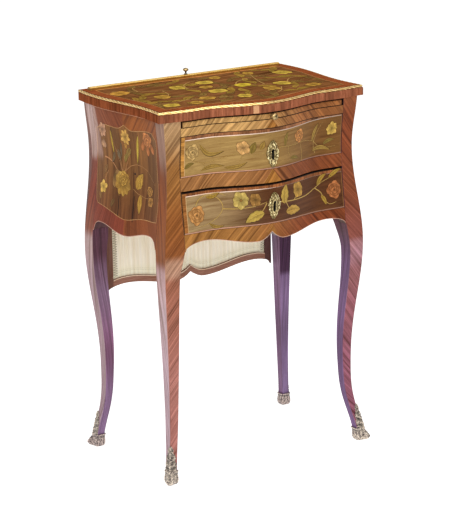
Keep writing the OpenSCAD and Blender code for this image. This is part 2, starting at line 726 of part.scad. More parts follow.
placed() top_panel();
placed() top_moulding();
placed() leg(false, false);  // leg_front_left
placed() leg(true, false);  // leg_front_right
placed() leg(false, true);  // leg_back_left
placed() leg(true, true);  // leg_back_right
placed() sabot(false, false);  // sabot_front_left
placed() sabot(true, false);  // sabot_front_right
placed() sabot(false, true);  // sabot_back_left
placed() sabot(true, true);  // sabot_back_right
placed() side_panel(false);  // side_panel_left
placed() side_panel(true);  // side_panel_right
placed() slide_rail();
placed() drawer_rail();
placed() bottom_rail();
placed() front_apron();
placed() inner_back_panel();
placed() outer_back_panel();
placed() screen_guides();
placed() slide_bed();
placed() dust_board();
placed() bottom_board();
placed() slide_runners();
placed() upper_drawer_guides();
placed() lower_drawer_guides();
placed() drawer_stops();
placed() corner_blocks();
placed() slide_board();
placed() slide_lipping();
placed() slide_leather();
placed() slide_knob();
placed() upper_front();  // upper_drawer_front
placed() drawer_side(upper_bottom, upper_top, false);  // upper_drawer_side_left
placed() drawer_side(upper_bottom, upper_top, true);  // upper_drawer_side_right
placed() drawer_back(upper_bottom, upper_top);  // upper_drawer_back
placed() drawer_bottom(upper_bottom);  // upper_drawer_bottom
placed() upper_plate();  // upper_escutcheon
placed() lock(upper_bottom, upper_face_top, upper_drop);  // upper_lock
placed() lower_front();  // lower_drawer_front
placed() drawer_side(lower_bottom, lower_top, false);  // lower_drawer_side_left
placed() drawer_side(lower_bottom, lower_top, true);  // lower_drawer_side_right
placed() drawer_back(lower_bottom, lower_top);  // lower_drawer_back
placed() drawer_bottom(lower_bottom);  // lower_drawer_bottom
placed() lower_plate();  // lower_escutcheon
placed() lock(lower_bottom, lower_face_top, lower_drop);  // lower_lock
placed() screen_stile(false);  // screen_stile_left
placed() screen_stile(true);  // screen_stile_right
placed() screen_top_rail();
placed() screen_bottom_rail();
placed() screen_strip();
placed() screen_knob();
placed() screen_silk();
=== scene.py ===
"""Looks of a lady's writing table with a rising fire screen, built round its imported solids.

Lengths in the shape functions are millimetres in the table's own axes: x to the right,
y to the back, z up. Build.make turns them into metres in the shared frame.
"""
import math
import random

import bpy
from mathutils import Matrix, Vector


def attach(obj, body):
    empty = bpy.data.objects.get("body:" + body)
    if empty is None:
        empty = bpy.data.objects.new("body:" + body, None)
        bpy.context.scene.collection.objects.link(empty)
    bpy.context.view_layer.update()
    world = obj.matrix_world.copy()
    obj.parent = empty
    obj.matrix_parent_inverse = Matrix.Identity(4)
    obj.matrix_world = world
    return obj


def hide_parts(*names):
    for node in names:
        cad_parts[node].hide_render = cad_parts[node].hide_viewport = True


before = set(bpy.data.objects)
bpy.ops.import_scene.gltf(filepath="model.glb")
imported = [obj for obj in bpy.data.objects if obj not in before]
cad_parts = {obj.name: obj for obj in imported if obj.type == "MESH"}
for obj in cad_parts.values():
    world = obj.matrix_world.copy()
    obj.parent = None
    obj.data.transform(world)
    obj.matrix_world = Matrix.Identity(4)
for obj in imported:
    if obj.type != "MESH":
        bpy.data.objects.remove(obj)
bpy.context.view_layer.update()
rng = random.Random(11)
SHIFT = 14.1161  # from the table's own axes to the frame's, in y

# Shapes of the case


def ease(t, p=1.0):
    t = max(0.0, min(1.0, t))
    return (1 - math.cos(math.pi * t**p)) / 2


def mix(a, b, t):
    return a + (b - a) * t


def blend3(a, b, t):
    return tuple(mix(p, q, t) for p, q in zip(a, b))


def shade(colour, k):
    return tuple(c * k for c in colour)


# outermost points of the front and back knees, and the heights of the storeys
KNEE_XF, KNEE_XB, KNEE_YF, KNEE_YB = 221.3, 229.1, 140.5, 141.3
TOP, TOP_LOW = 700.0, 680.0
SLIDE_TOP, SLIDE_LOW = 677.5, 666.5
RAIL_TOP, UP_TOP, UP_LOW, LO_TOP, LO_LOW = 666.2, 650.7, 573.7, 548.7, 470.2
UP_FACE, LO_FACE = 650.1, 546.1
POST_X, BACK_X, POST_YF, POST_YB = 179.0, 197.0, 98.0, 104.0
FADE_Z, BRACKET_Z = 380.2, 440.2
# where a corner's outline turns, and how far it then lies inside the knee
ANKLE_Z, KNEE_Z, BELLY_Z, WAIST_Z = 150, 400, 525, 585
ANKLE_X, ANKLE_Y, FOOT_FRONT, FOOT_BACK, WAIST, SHOULDER = 15.7, 19.9, -1.5, 3, 15.2, 7
# how far the front bows out at the apron, the lower drawer and the top, and half its bow's width
BOW_LOW, BOW_FULL, BOW_TOP, BOW_HALF = 20, 38, 30, 150
# waves at the front's ends and in the sides
SWELL, SWELL_OUT, SIDE_WAVE = (KNEE_XF - 100) / 2, 4.5, 5.5


def inset(z, ankle, foot):
    if z < ANKLE_Z:
        return mix(ankle, foot, ease((ANKLE_Z - z) / ANKLE_Z, 1.4))
    if z < KNEE_Z:
        return ankle * (1 - ease((z - ANKLE_Z) / (KNEE_Z - ANKLE_Z), 1.16))
    if z < WAIST_Z:
        return WAIST * ease((z - KNEE_Z) / (WAIST_Z - KNEE_Z))
    return mix(WAIST, SHOULDER, ease((z - WAIST_Z) / (TOP - WAIST_Z)))


def corner_x(z, back):
    return (KNEE_XB if back else KNEE_XF) - inset(z, ANKLE_X, FOOT_BACK if back else FOOT_FRONT)


def corner_y(z, back):
    return (KNEE_YB if back else KNEE_YF) - inset(z, ANKLE_Y, FOOT_BACK if back else FOOT_FRONT)


def bow(z):
    if z < BELLY_Z:
        return mix(BOW_LOW, BOW_FULL, ease((z - BRACKET_Z) / (BELLY_Z - BRACKET_Z)))
    return mix(BOW_FULL, BOW_TOP, ease((z - WAIST_Z) / (TOP - WAIST_Z)))


def front_plan(x, z):
    ends = SWELL_OUT * ease(1 - abs(abs(x) - KNEE_XF + SWELL) / SWELL)
    return bow(z) * (1 - ease(abs(x) / BOW_HALF)) + ends


def fade(z):
    """Share of the case's curves in an outline at height z: none in the legs, all above the brackets."""
    return ease((z - FADE_Z) / (BRACKET_Z - FADE_Z))


def front_out(x, z):
    return corner_y(z, False) + front_plan(x, z) * fade(z)


def side_out(y, z):
    t = (y + KNEE_YF) / (KNEE_YF + KNEE_YB)
    return mix(corner_x(z, False), corner_x(z, True), t) - SIDE_WAVE * math.sin(2 * math.pi * t) * fade(z)


# height of the rounded drop at each end of a shaped lower edge
END_DROP = 15


def ogee(x, low, point, arch, half):
    """Shaped lower edge: a point in the middle, an arch on each side and a rounded drop at the ends."""
    a, dip, top = abs(x), half / 6, half * 0.76
    if a < dip:
        return low + point * (1 - a / dip) ** 2
    if a < top:
        return low + arch * ease((a - dip) / (top - dip))
    return low + arch - END_DROP * (1 - math.sqrt(max(0, 1 - ((a - top) / (half - top)) ** 2)))


def apron_edge(x):
    return ogee(x, LO_LOW - 31.5, 16, 15, POST_X)


def side_edge(y):
    """Lower edge of a side panel."""
    low, lift, middle, span, period, corner = 446.6, 13, 2, 78, 144, 20
    a = abs(y - middle)
    drop = corner - math.sqrt(max(0, corner**2 - min(a - span, corner) ** 2)) if a > span else 0
    return low + lift * (1 - math.cos(2 * math.pi * min(a, span) / period)) / 2 - drop


# the top's corners, with its overhang past the posts
TOP_XF, TOP_XB = corner_x(TOP_LOW, False) + 11, corner_x(TOP_LOW, True) + 6
TOP_YF, TOP_YB = corner_y(TOP_LOW, False) + 3, 148.8


def top_front(x, margin):
    return -(TOP_YF + front_plan(x, TOP) - margin)


def top_side(t, margin):
    y = mix(-TOP_YF, TOP_YB, t)
    return mix(TOP_XF, TOP_XB, t) - SIDE_WAVE * math.sin(2 * math.pi * t) - margin, y


# Mesh building


class Build:
    """Collects grids and strips, then makes one mesh with a grain map and a tint."""

    def __init__(self):
        self.verts, self.uvs, self.tints, self.faces, self.slots = [], [], [], [], []

    def add(self, points, faces, uvs, slot=0, tint=(1, 1, 1)):
        base = len(self.verts)
        self.verts += points
        self.uvs += uvs
        self.tints += tint if isinstance(tint, list) else [tint] * len(points)
        for face in faces:
            self.faces.append([base + i for i in face])
            self.slots.append(slot)

    def grid(self, point, nu, nv, uv, slot=0, tint=None, flip=False, skip=None, loop=False):
        """point(s, t) and uv(s, t) over a grid; s runs to the right and t runs up, seen from outside."""
        points, uvs, tints = [], [], []
        for j in range(nv + 1):
            for i in range(nu + (0 if loop else 1)):
                s, t = i / nu, j / nv
                points.append(point(s, t))
                uvs.append(uv(s, t))
                tints.append(tint(s, t) if callable(tint) else (tint or (1, 1, 1)))
        wide = nu if loop else nu + 1
        faces = []
        for j in range(nv):
            for i in range(nu):
                if skip and skip((i + 0.5) / nu, (j + 0.5) / nv):
                    continue
                k = (i + 1) % wide
                face = [j * wide + i, j * wide + k, (j + 1) * wide + k, (j + 1) * wide + i]
                faces.append(face[::-1] if flip else face)
        self.add(points, faces, uvs, slot, tints)

    def polygon(self, points, uvs, slot=0, tint=(1, 1, 1)):
        self.add(points, [list(range(len(points)))], uvs, slot, tint)

    def make(self, name, materials, body, replaces=(), slot=None):
        mesh = bpy.data.meshes.new(name)
        mesh.from_pydata([(x / 1000, (y + SHIFT) / 1000, z / 1000) for x, y, z in self.verts], [], self.faces)
        layer = mesh.uv_layers.new(name="grain")
        flat = []
        for face in self.faces:
            for i in face:
                flat += self.uvs[i]
        layer.data.foreach_set("uv", flat)
        tint = mesh.color_attributes.new("tint", "FLOAT_COLOR", "POINT")
        tint.data.foreach_set("color", [c for t in self.tints for c in (*t[:3], 1.0)])
        for material in materials:
            mesh.materials.append(material)
        mesh.polygons.foreach_set("material_index", self.slots)
        mesh.polygons.foreach_set("use_smooth", [True] * len(self.faces))
        mesh.validate()
        mesh.update()
        piece = bpy.data.objects.new(name, mesh)
        bpy.context.scene.collection.objects.link(piece)
        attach(piece, body)
        if replaces:
            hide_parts(*replaces)
        return piece


def quads(rows, wide):
    """Faces between neighbouring rows of points, where each row holds as many."""
    return [[r * wide + i, r * wide + i + 1, (r + 1) * wide + i + 1, (r + 1) * wide + i]
            for r in range(rows - 1) for i in range(wide - 1)]


def turned(u, v, degrees):
    """Grain map of a point (u, v) in mm, in centimetres, with the grain at an angle."""
    a = math.radians(degrees)
    return ((u * math.cos(a) + v * math.sin(a)) / 10, (-u * math.sin(a) + v * math.cos(a)) / 10)


def grain(wide, high, degrees=0):
    """Grain map of a grid that is wide by high mm."""
    return lambda s, t: turned(s * wide, t * high, degrees)


def smooth_path(points, n=6):
    """Catmull-Rom curve through points."""
    path = []
    ends = [points[0]] + list(points) + [points[-1]]
    for k in range(1, len(ends) - 2):
        p0, p1, p2, p3 = ends[k - 1 : k + 3]
        for i in range(n):
            t = i / n
            path.append(tuple(0.5 * (2 * b + (c - a) * t + (2 * a - 5 * b + 4 * c - d) * t * t
                                     + (3 * b - a - 3 * c + d) * t**3) for a, b, c, d in zip(p0, p1, p2, p3)))
    path.append(tuple(points[-1]))
    return path


# Materials


def lin(r, g, b):
    """Linear colour from ordinary 0 to 255 values."""
    return tuple(((c / 255 + 0.055) / 1.055) ** 2.4 if c > 10 else c / 255 / 12.92 for c in (r, g, b))


class Nodes:
    """A material's node tree, with short ways to add to it."""

    def __init__(self, name):
        self.material = bpy.data.materials.new(name)
        self.material.use_nodes = True
        self.tree = self.material.node_tree
        self.tree.nodes.clear()
        self.out = self.add("ShaderNodeOutputMaterial")
        self.bsdf = self.add("ShaderNodeBsdfPrincipled")
        self.link(self.bsdf.outputs[0], self.out.inputs[0])

    def add(self, kind, **values):
        node = self.tree.nodes.new(kind)
        for key, value in values.items():
            setattr(node, key, value)
        return node

    def link(self, a, b):
        self.tree.links.new(a, b)

    def set(self, **values):
        for key, value in values.items():
            self.bsdf.inputs[key.replace("_", " ").title().replace("Ior", "IOR")].default_value = value

    def coords(self, space, scale):
        if space == "uv":
            source = self.add("ShaderNodeUVMap", uv_map="grain").outputs[0]
        else:
            source = self.add("ShaderNodeTexCoord").outputs["Object"]
        mapping = self.add("ShaderNodeMapping")
        mapping.inputs["Scale"].default_value = scale
        self.link(source, mapping.inputs["Vector"])
        return mapping.outputs[0]

    def noise(self, vector, detail, rough, distort=0.0):
        node = self.add("ShaderNodeTexNoise")
        node.inputs["Scale"].default_value = 1.0
        node.inputs["Detail"].default_value = detail
        node.inputs["Roughness"].default_value = rough
        node.inputs["Distortion"].default_value = distort
        self.link(vector, node.inputs["Vector"])
        return node.outputs[0]

    def ramp(self, factor, stops):
        node = self.add("ShaderNodeValToRGB")
        ramp = node.color_ramp
        while len(ramp.elements) < len(stops):
            ramp.elements.new(0.5)
        for element, (place, colour) in zip(ramp.elements, stops):
            element.position = place
            element.color = (*colour, 1.0)
        self.link(factor, node.inputs[0])
        return node.outputs[0]

    def mix(self, a, b, factor=1.0):
        node = self.add("ShaderNodeMix", data_type="RGBA", blend_type="MULTIPLY")
        if isinstance(factor, float):
            node.inputs[0].default_value = factor
        else:
            self.link(factor, node.inputs[0])
        for k, value in ((6, a), (7, b)):
            if isinstance(value, tuple):
                node.inputs[k].default_value = (*value, 1.0)
            else:
                self.link(value, node.inputs[k])
        return node.outputs[2]

    def scaled(self, factor, low, high):
        node = self.add("ShaderNodeMapRange")
        node.inputs[3].default_value = low
        node.inputs[4].default_value = high
        self.link(factor, node.inputs[0])
        return node.outputs[0]

    def bump(self, height, strength, distance=0.0004):
        node = self.add("ShaderNodeBump")
        node.inputs["Strength"].default_value = strength
        node.inputs["Distance"].default_value = distance
        self.link(height, node.inputs["Height"])
        self.link(node.outputs[0], self.bsdf.inputs["Normal"])

    def tint(self):
        return self.add("ShaderNodeAttribute", attribute_name="tint").outputs["Color"]


def wood(name, base=None, streak=(0.3, 4.0), contrast=(0.6, 1.3), pores=0.3, rough=(0.26, 0.4), coat=0.02,
         space="uv", axis=0, specular=0.08, warm=0.12):
    """Polished veneer or board. streak is the figure's frequency per cm along and across the grain.

    Without a base colour the mesh's tint gives it. contrast scales the dark and the light streaks.
    """
    n = Nodes(name)
    unit = 1.0 if space == "uv" else 100.0

    def stretch(along, across):
        scale = [across * unit] * 3
        scale[axis] = along * unit
        return tuple(scale)

    figure = n.noise(n.coords(space, stretch(*streak)), 5.0, 0.62, 0.5)
    low, high = contrast
    dark = (low * (1 + warm), low, low * (1 - warm))
    light = (high * (1 - warm * 0.3), high, high * (1 + warm * 0.3))
    grey = (1.0, 1.0, 1.0)
    colour = n.ramp(figure, [(0.36, dark), (0.46, grey), (0.52, grey), (0.61, light),
                             (0.72, blend3(light, grey, 0.4))])
    fine = n.noise(n.coords(space, stretch(1.6, 34.0)), 3.0, 0.6)
    colour = n.mix(colour, n.ramp(fine, [(0.3, (0.4, 0.34, 0.3)), (0.5, grey), (0.7, (1.35, 1.35, 1.3))]),
                   pores)
    cloud = n.noise(n.coords("object", (11, 11, 11)), 3.0, 0.5)
    colour = n.mix(colour, n.ramp(cloud, [(0.3, (0.86, 0.84, 0.82)), (0.7, (1.1, 1.09, 1.08))]), 0.8)
    colour = n.mix(colour, base if base else n.tint(), 1.0)
    n.link(colour, n.bsdf.inputs["Base Color"])
    n.link(n.scaled(cloud, *rough), n.bsdf.inputs["Roughness"])
    n.set(coat_weight=coat, coat_roughness=0.12, specular_ior_level=specular)
    n.bump(fine, 0.1, 0.0002)
    return n.material


def gilt(name, colour, dark, rough=(0.22, 0.42), scale=160, metallic=0.6):
    """Gilt bronze in bright and brown spots, times the mesh's tint; the tints make raised parts bright and
    hollows brown, partly wear and dirt and partly painted highlight and painted shade.
    """
    n = Nodes(name)
    spots = n.noise(n.coords("object", (scale, scale, scale)), 5.0, 0.6)
    base = n.ramp(spots, [(0.42, dark), (0.56, colour)])
    base = n.mix(base, n.tint(), 1.0)
    n.link(base, n.bsdf.inputs["Base Color"])
    n.link(n.scaled(spots, *rough), n.bsdf.inputs["Roughness"])
    n.set(metallic=metallic)
    grain = n.noise(n.coords("object", (900, 900, 900)), 2.0, 0.5)
    n.bump(grain, 0.25, 0.0002)
    return n.material


FRONT_WOOD = wood("tulipwood_front", streak=(0.03, 1.9), contrast=(0.46, 1.56), pores=0.45)
SIDE_WOOD = wood("tulipwood_side", streak=(0.05, 2.0), contrast=(0.55, 1.4), pores=0.45)
INNER_WOOD = wood("kingwood_inner", streak=(0.06, 2.4), contrast=(0.5, 1.55), pores=0.4, rough=(0.3, 0.42),
                  warm=0.05)
BAND_WOOD = wood("crossband", streak=(0.4, 4.5), contrast=(0.55, 1.5), pores=0.35)
GROUND_SIDE = wood("ground_side", streak=(0.08, 1.5), contrast=(0.55, 1.4), pores=0.4)
GROUND_FRONT = wood("ground_front", streak=(0.12, 1.4), contrast=(0.66, 1.3), pores=0.35)
GROUND_TOP = wood("ground_top", streak=(0.1, 1.4), contrast=(0.4, 1.6), pores=0.35, specular=0.0, coat=0.0)
TOP_BAND = wood("top_crossband", streak=(0.3, 3.0), contrast=(0.6, 1.4), pores=0.3, specular=0.0, coat=0.0)
LINE_WOOD = wood("stringing", streak=(0.5, 6.0), contrast=(0.85, 1.1), pores=0.2)
INLAY = wood("inlaid_woods", streak=(0.5, 5.0), contrast=(0.66, 1.3), pores=0.3)
TOP_INLAY = wood("top_inlaid_woods", streak=(0.5, 5.0), contrast=(0.7, 1.25), pores=0.3, specular=0.0,
                 coat=0.0)
BRONZE = gilt("gilt_bronze_cast", lin(255, 246, 204), lin(118, 88, 40), scale=420, metallic=0.4)
SHOE = gilt("shoe_bronze", lin(252, 240, 226), lin(78, 64, 72), (0.3, 0.5), 420, 0.4)
ROPE = gilt("rope_bronze", lin(250, 216, 140), lin(226, 182, 106), metallic=0.3)
KNOB = gilt("knob_bronze", lin(214, 186, 132), lin(84, 64, 40), (0.2, 0.36), scale=420, metallic=0.7)
STRIP = gilt("strip_brass_polished", lin(255, 248, 200), lin(252, 228, 165), (0.24, 0.36), scale=60,
             metallic=0.12)
SCREEN_WOOD, SCREEN_RAIL, SCREEN_DARK = [
    wood(name, lin(*colour), (0.25, 4.0), contrast, space="object", axis=axis, rough=(0.34, 0.46))
    for name, colour, contrast, axis in (("screen_wood", (118, 82, 68), (0.7, 1.2), 2),
                                         ("screen_rail_wood", (152, 108, 90), (0.75, 1.25), 0),
                                         ("screen_stile_dark", (92, 60, 56), (0.7, 1.2), 2))]
BACK_WOOD = wood("back_veneer", lin(126, 76, 46), (0.1, 1.8), (0.62, 1.3), space="object", axis=2)
OAK_X, OAK_Y = [wood(name, lin(160, 120, 76), (0.3, 4.5), (0.75, 1.15), 0.5, (0.5, 0.66), 0.0, "object", axis)
                for name, axis in (("oak_across", 0), ("oak_deep", 1))]
SLIDE_BOARD_WOOD = wood("slide_wood", lin(144, 86, 50), (0.2, 2.6), (0.66, 1.3), space="object", axis=0)


def plain(name, colour, second, rough, scale, metallic=0.0, bump=0.2, sheen=0.0):
    """Two near tones in fine spots."""
    n = Nodes(name)
    spots = n.noise(n.coords("object", (scale, scale, scale)), 5.0, 0.6)
    n.link(n.ramp(spots, [(0.35, second), (0.65, colour)]), n.bsdf.inputs["Base Color"])
    n.set(metallic=metallic, roughness=rough)
    if sheen:
        n.set(sheen_weight=sheen)
    n.bump(spots, bump, 0.0003)
    return n.material


LEATHER = plain("slide_leather_green", lin(58, 84, 58), lin(42, 66, 46), 0.5, 700, bump=0.5, sheen=0.1)
STEEL = plain("lock_steel_dull", lin(150, 148, 142), lin(110, 106, 100), 0.42, 300, 0.9, 0.2)
KEYHOLE_SHADE = plain("keyhole_painted_shade", lin(14, 11, 9), lin(22, 17, 14), 0.8, 400)

# Camera, light and floor


def direction(azimuth, elevation):
    """Unit vector from the table; azimuth 0 is the front and grows towards the right."""
    a, e = math.radians(azimuth), math.radians(elevation)
    return Vector((math.cos(e) * math.sin(a), -math.cos(e) * math.cos(a), math.sin(e)))


# the camera as it was fitted to the photograph
ROLL, DISTANCE, AIM_Z = math.radians(-0.944), 4.5281, 0.36
back = direction(-32.758, 15.045)
right = (-back).cross(Vector((0, 0, 1))).normalized()
up = right.cross(-back)
right_rolled = right * math.cos(ROLL) + up * math.sin(ROLL)
up_rolled = up * math.cos(ROLL) - right * math.sin(ROLL)
camera_data = bpy.data.cameras.new("camera")
camera_data.sensor_fit = "VERTICAL"
camera_data.sensor_height = 36
camera_data.lens = 160.44
camera_data.shift_x = 0.02222
camera_data.shift_y = -0.00611
camera_data.clip_end = 50
camera = bpy.data.objects.new("camera", camera_data)
place = Vector((0, SHIFT / 1000, AIM_Z)) + back * DISTANCE
turn = Matrix((right_rolled, up_rolled, back)).transposed().to_4x4()
camera.matrix_world = Matrix.Translation(place) @ turn
bpy.context.scene.collection.objects.link(camera)
bpy.context.scene.camera = camera
bpy.context.scene.view_settings.view_transform = "Standard"


LAMP_AIM = Vector((0, 0, 0.45))


def lamp(name, azimuth, elevation, distance, size, power):
    """White area light on a sphere round the table."""
    towards = direction(azimuth, elevation)
    data = bpy.data.lights.new(name, "AREA")
    data.shape = "RECTANGLE"
    data.size, data.size_y = size
    data.energy = power
    light = bpy.data.objects.new(name, data)
    light.location = LAMP_AIM + towards * distance
    light.rotation_euler = towards.to_track_quat("Z", "Y").to_euler()
    bpy.context.scene.collection.objects.link(light)


lamp("key", -58, 38, 3.2, (1.4, 1.4), 30.5)
lamp("front", -10, 50, 3.4, (1.8, 1.2), 11)
lamp("overhead", 60, 78, 3.0, (2.0, 2.0), 30)

world = bpy.data.worlds.new("studio")
world.use_nodes = True
sky = world.node_tree.nodes["Background"]
sky.inputs[0].default_value = (1, 1, 1, 1)
sky.inputs[1].default_value = 0.37
bpy.context.scene.world = world

n = Nodes("floor_paper")
paper = n.noise(n.coords("object", (40, 40, 40)), 3.0, 0.5)
n.link(n.ramp(paper, [(0.3, (0.7, 0.7, 0.7)), (0.7, (0.76, 0.76, 0.76))]), n.bsdf.inputs["Base Color"])
n.set(roughness=0.9, specular_ior_level=0.1, emission_color=(1, 1, 1, 1), emission_strength=0.8)
mesh = bpy.data.meshes.new("floor")
mesh.from_pydata([(-9, -9, 0), (9, -9, 0), (9, 9, 0), (-9, 9, 0)], [], [(0, 1, 2, 3)])
mesh.materials.append(n.material)
floor = bpy.data.objects.new("floor", mesh)
bpy.context.scene.collection.objects.link(floor)

# Table top


def cut_half(poly, axis, limit, keep_below):
    """Part of a polygon of (x, y) points on one side of a line along an axis."""
    sign = 1 if keep_below else -1
    kept = []
    for k, p in enumerate(poly):
        q = poly[(k + 1) % len(poly)]
        a, b = sign * (p[axis] - limit), sign * (q[axis] - limit)
        if a <= 0:
            kept.append(p)
        if (a < 0 < b) or (b < 0 < a):
            t = a / (a - b)
            kept.append((mix(p[0], q[0], t), mix(p[1], q[1], t)))
    return kept


def outside_rect(poly, x0, x1, y0, y1):
    """A convex polygon less a rectangle, as convex polygons."""
    parts = [cut_half(poly, 1, y0, True)]
    rest = cut_half(poly, 1, y0, False)
    parts.append(cut_half(rest, 1, y1, False) if rest else [])
    rest = cut_half(rest, 1, y1, True) if rest else []
    for limit, below in ((x0, True), (x1, False)):
        parts.append(cut_half(rest, 0, limit, below) if rest else [])
    return [p for p in parts if len(p) > 2 and abs(area(p)) > 0.02]


def area(poly):
    return sum(p[0] * q[1] - q[0] * p[1] for p, q in zip(poly, poly[1:] + poly[:1])) / 2


# x and y limits of the seat of the brass strip and of the screen's slot
REBATE, REBATE_DEEP = (-214.6, 214.6, 126.7, 137.9), 0.7
SLOT = (-191.2, 191.2, 128.4, 136.2)
# margins from the top's outline: the moulding's seat, the crossband, and the light line inside it
SEAT, BAND, LINE, FIELD_BACK = 4.6, 25.0, 1.1, 119.5
SEAT_Z, LIP = 695, 1.2
TOP_EDGE, TOP_EDGE_SIDE = lin(152, 91, 64), lin(129, 69, 41)
TOP_SIDE, TOP_REAR = lin(150, 80, 44), lin(200, 130, 72)
TOP_LINE, TOP_GROUND = lin(206, 150, 70), lin(136, 89, 51)


def side_x(y, margin):
    """Outline of the top at a depth y."""
    t = (y + TOP_YF) / (TOP_YB + TOP_YF)
    return top_side(max(0.0, min(1.0, t)), margin)[0]


top = Build()


def flat(poly, slot, degrees, tint, hole=REBATE):
    """Part of the top's surface, less the rebate where that cuts into it."""
    for part in outside_rect(poly, *hole) if hole else [poly]:
        top.polygon([(x, y, TOP) for x, y in part], [turned(x, y, degrees) for x, y in part], slot, tint)


def front_at(u, margin):
    """Point of the front outline, u from -1 to 1; its ends meet the curved sides in a mitre."""
    x = (TOP_XF - margin) * u
    for _ in range(4):
        y = top_front(x, margin)
        x = u * side_x(y, margin)
    return x, y


steps = 96
INNER = BAND + LINE
for i in range(steps):
    u0, u1 = mix(-1, 1, i / steps), mix(-1, 1, (i + 1) / steps)
    for m0, m1, slot, angle in ((SEAT, BAND, 0, 90), (BAND, INNER, 1, 0)):
        ring = [front_at(u0, m0), front_at(u1, m0), front_at(u1, m1), front_at(u0, m1)]
        flat(ring, slot, angle, TOP_SIDE if slot == 0 else TOP_LINE, None)
for side in (-1, 1):
    for m0, m1, slot, angle, end in ((SEAT, BAND, 0, 0, TOP_YB), (BAND, INNER, 1, 90, FIELD_BACK)):
        c0, c1 = front_at(1, m0)[1], front_at(1, m1)[1]
        for i in range(48):
            ya, yb = mix(c0, end, i / 48), mix(c0, end, (i + 1) / 48)
            yc, yd = mix(c1, end, (i + 1) / 48), mix(c1, end, i / 48)
            ring = [(side * side_x(ya, m0), ya), (side * side_x(yb, m0), yb), (side * side_x(yc, m1), yc),
                    (side * side_x(yd, m1), yd)]
            if side < 0:
                ring.reverse()
            flat(ring, slot, angle, TOP_SIDE if slot == 0 else TOP_LINE)


def field_at(s, t):
    u = 2 * s - 1
    y = mix(front_at(u, INNER)[1], FIELD_BACK, t)
    return u * side_x(y, INNER), y


def field_tint(s, t):
    x, y = field_at(s, t)
    k = 0.86 + 0.1 * math.sin(x * 0.045 + 1) * math.sin(y * 0.06) + 0.06 * math.sin(x * 0.11 + y * 0.05)
    return (k, k * 0.98, k * 0.95)


top.grid(lambda s, t: (*field_at(s, t), TOP), 96, 40, lambda s, t: turned(*field_at(s, t), 8), 2,
         lambda s, t: tuple(a * b for a, b in zip(field_tint(s, t), TOP_GROUND)))
for y0, y1, slot, angle in ((FIELD_BACK, FIELD_BACK + LINE, 1, 0), (FIELD_BACK + LINE, TOP_YB, 0, 90)):
    for i in range(24):
        a, b = mix(-1, 1, i / 24), mix(-1, 1, (i + 1) / 24)
        ring = [(side_x(y0, BAND) * a, y0), (side_x(y0, BAND) * b, y0), (side_x(y1, BAND) * b, y1),
                (side_x(y1, BAND) * a, y1)]
        flat(ring, slot, angle, TOP_REAR if slot == 0 else TOP_LINE)
# the rebate round the strip, and the slot's walls
x0, x1, y0, y1 = REBATE
for part in outside_rect([(x0, y0), (x1, y0), (x1, y1), (x0, y1)], *SLOT):
    top.polygon([(x, y, TOP - REBATE_DEEP) for x, y in part], [turned(x, y, 90) for x, y in part], 0,
                lin(70, 46, 30))
for box, high, low in ((REBATE, TOP, TOP - REBATE_DEEP), (SLOT, TOP - REBATE_DEEP, TOP_LOW)):
    x0, x1, y0, y1 = box
    ring = [(x0, y0), (x0, y1), (x1, y1), (x1, y0)]
    for k in range(4):
        p, q = ring[k], ring[(k + 1) % 4]
        top.polygon([(*p, high), (*p, low), (*q, low), (*q, high)],
                    [turned(p[0] + p[1], high, 90), turned(p[0] + p[1], low, 90),
                     turned(q[0] + q[1], low, 90), turned(q[0] + q[1], high, 90)], 0, lin(60, 40, 26))


def outline(margin, n_front=120, n_side=60):
    """Outline of the top without its back: from the back left corner round to the back right one."""
    corner = front_at(1, margin)[1]
    sides = [(side_x(y, margin), y) for y in (mix(corner, TOP_YB, i / n_side) for i in range(1, n_side + 1))]
    front = [front_at(mix(-1, 1, i / n_front), margin) for i in range(n_front + 1)]
    return [(-x, y) for x, y in reversed(sides)] + front + sides


def run_lengths(path):
    total, lengths = 0.0, [0.0]
    for p, q in zip(path, path[1:]):
        total += math.dist(p, q)
        lengths.append(total)
    return lengths


# shades of the short crossbanding veneers round the edge
stripes = [(0.72, 0.9, 1.0, 1.08, 1.15)[rng.randrange(5)] for _ in range(251)]


def edge_band(profile, tint, side_tint=None):
    """Moulded edge along the outline: profile gives margin and height of each level, from below."""
    rails = [outline(m) for m, z in profile]
    lengths = run_lengths(rails[-1])
    heights = [0.0]
    for (m0, z0), (m1, z1) in zip(profile, profile[1:]):
        heights.append(heights[-1] + math.hypot(m1 - m0, z1 - z0))
    n = len(rails[0])
    points = [(x, y, profile[k][1]) for k, rail in enumerate(rails) for x, y in rail]
    uvs = [turned(lengths[i], heights[k], 90) for k in range(len(rails)) for i in range(n)]
    quarter = (n - 1) / 4
    tints = [shade(side_tint if side_tint and (i < quarter or i > 3 * quarter) else tint,
                   stripes[i % len(stripes)]) for _ in rails for i in range(n)]
    top.add(points, quads(len(rails), n), uvs, 0, tints)


edge_band([(0.9, TOP_LOW), (0.25, TOP_LOW + 0.25), (0, TOP_LOW + 0.9), (0, SEAT_Z - 0.8), (0.3, SEAT_Z - 0.1),
           (LIP, SEAT_Z)], TOP_EDGE, TOP_EDGE_SIDE)
edge_band([(LIP, SEAT_Z), (SEAT, SEAT_Z), (SEAT, TOP)], lin(80, 50, 30))
# a lighter patch on the front edge
patch = Build()
PATCH_X0, PATCH_X1 = -39.5, -28.5
patch.grid(lambda s, t: (mix(PATCH_X0, PATCH_X1, s), top_front(mix(PATCH_X0, PATCH_X1, s), -0.06),
                         mix(TOP_LOW + 0.6, SEAT_Z - 0.4, t)), 8, 4,
           lambda s, t: turned(mix(PATCH_X0, PATCH_X1, s), t * 14, 80), 0, lin(214, 160, 116))
patch.make("edge_patch", [LINE_WOOD], "carcass", slot="leg_veneer")
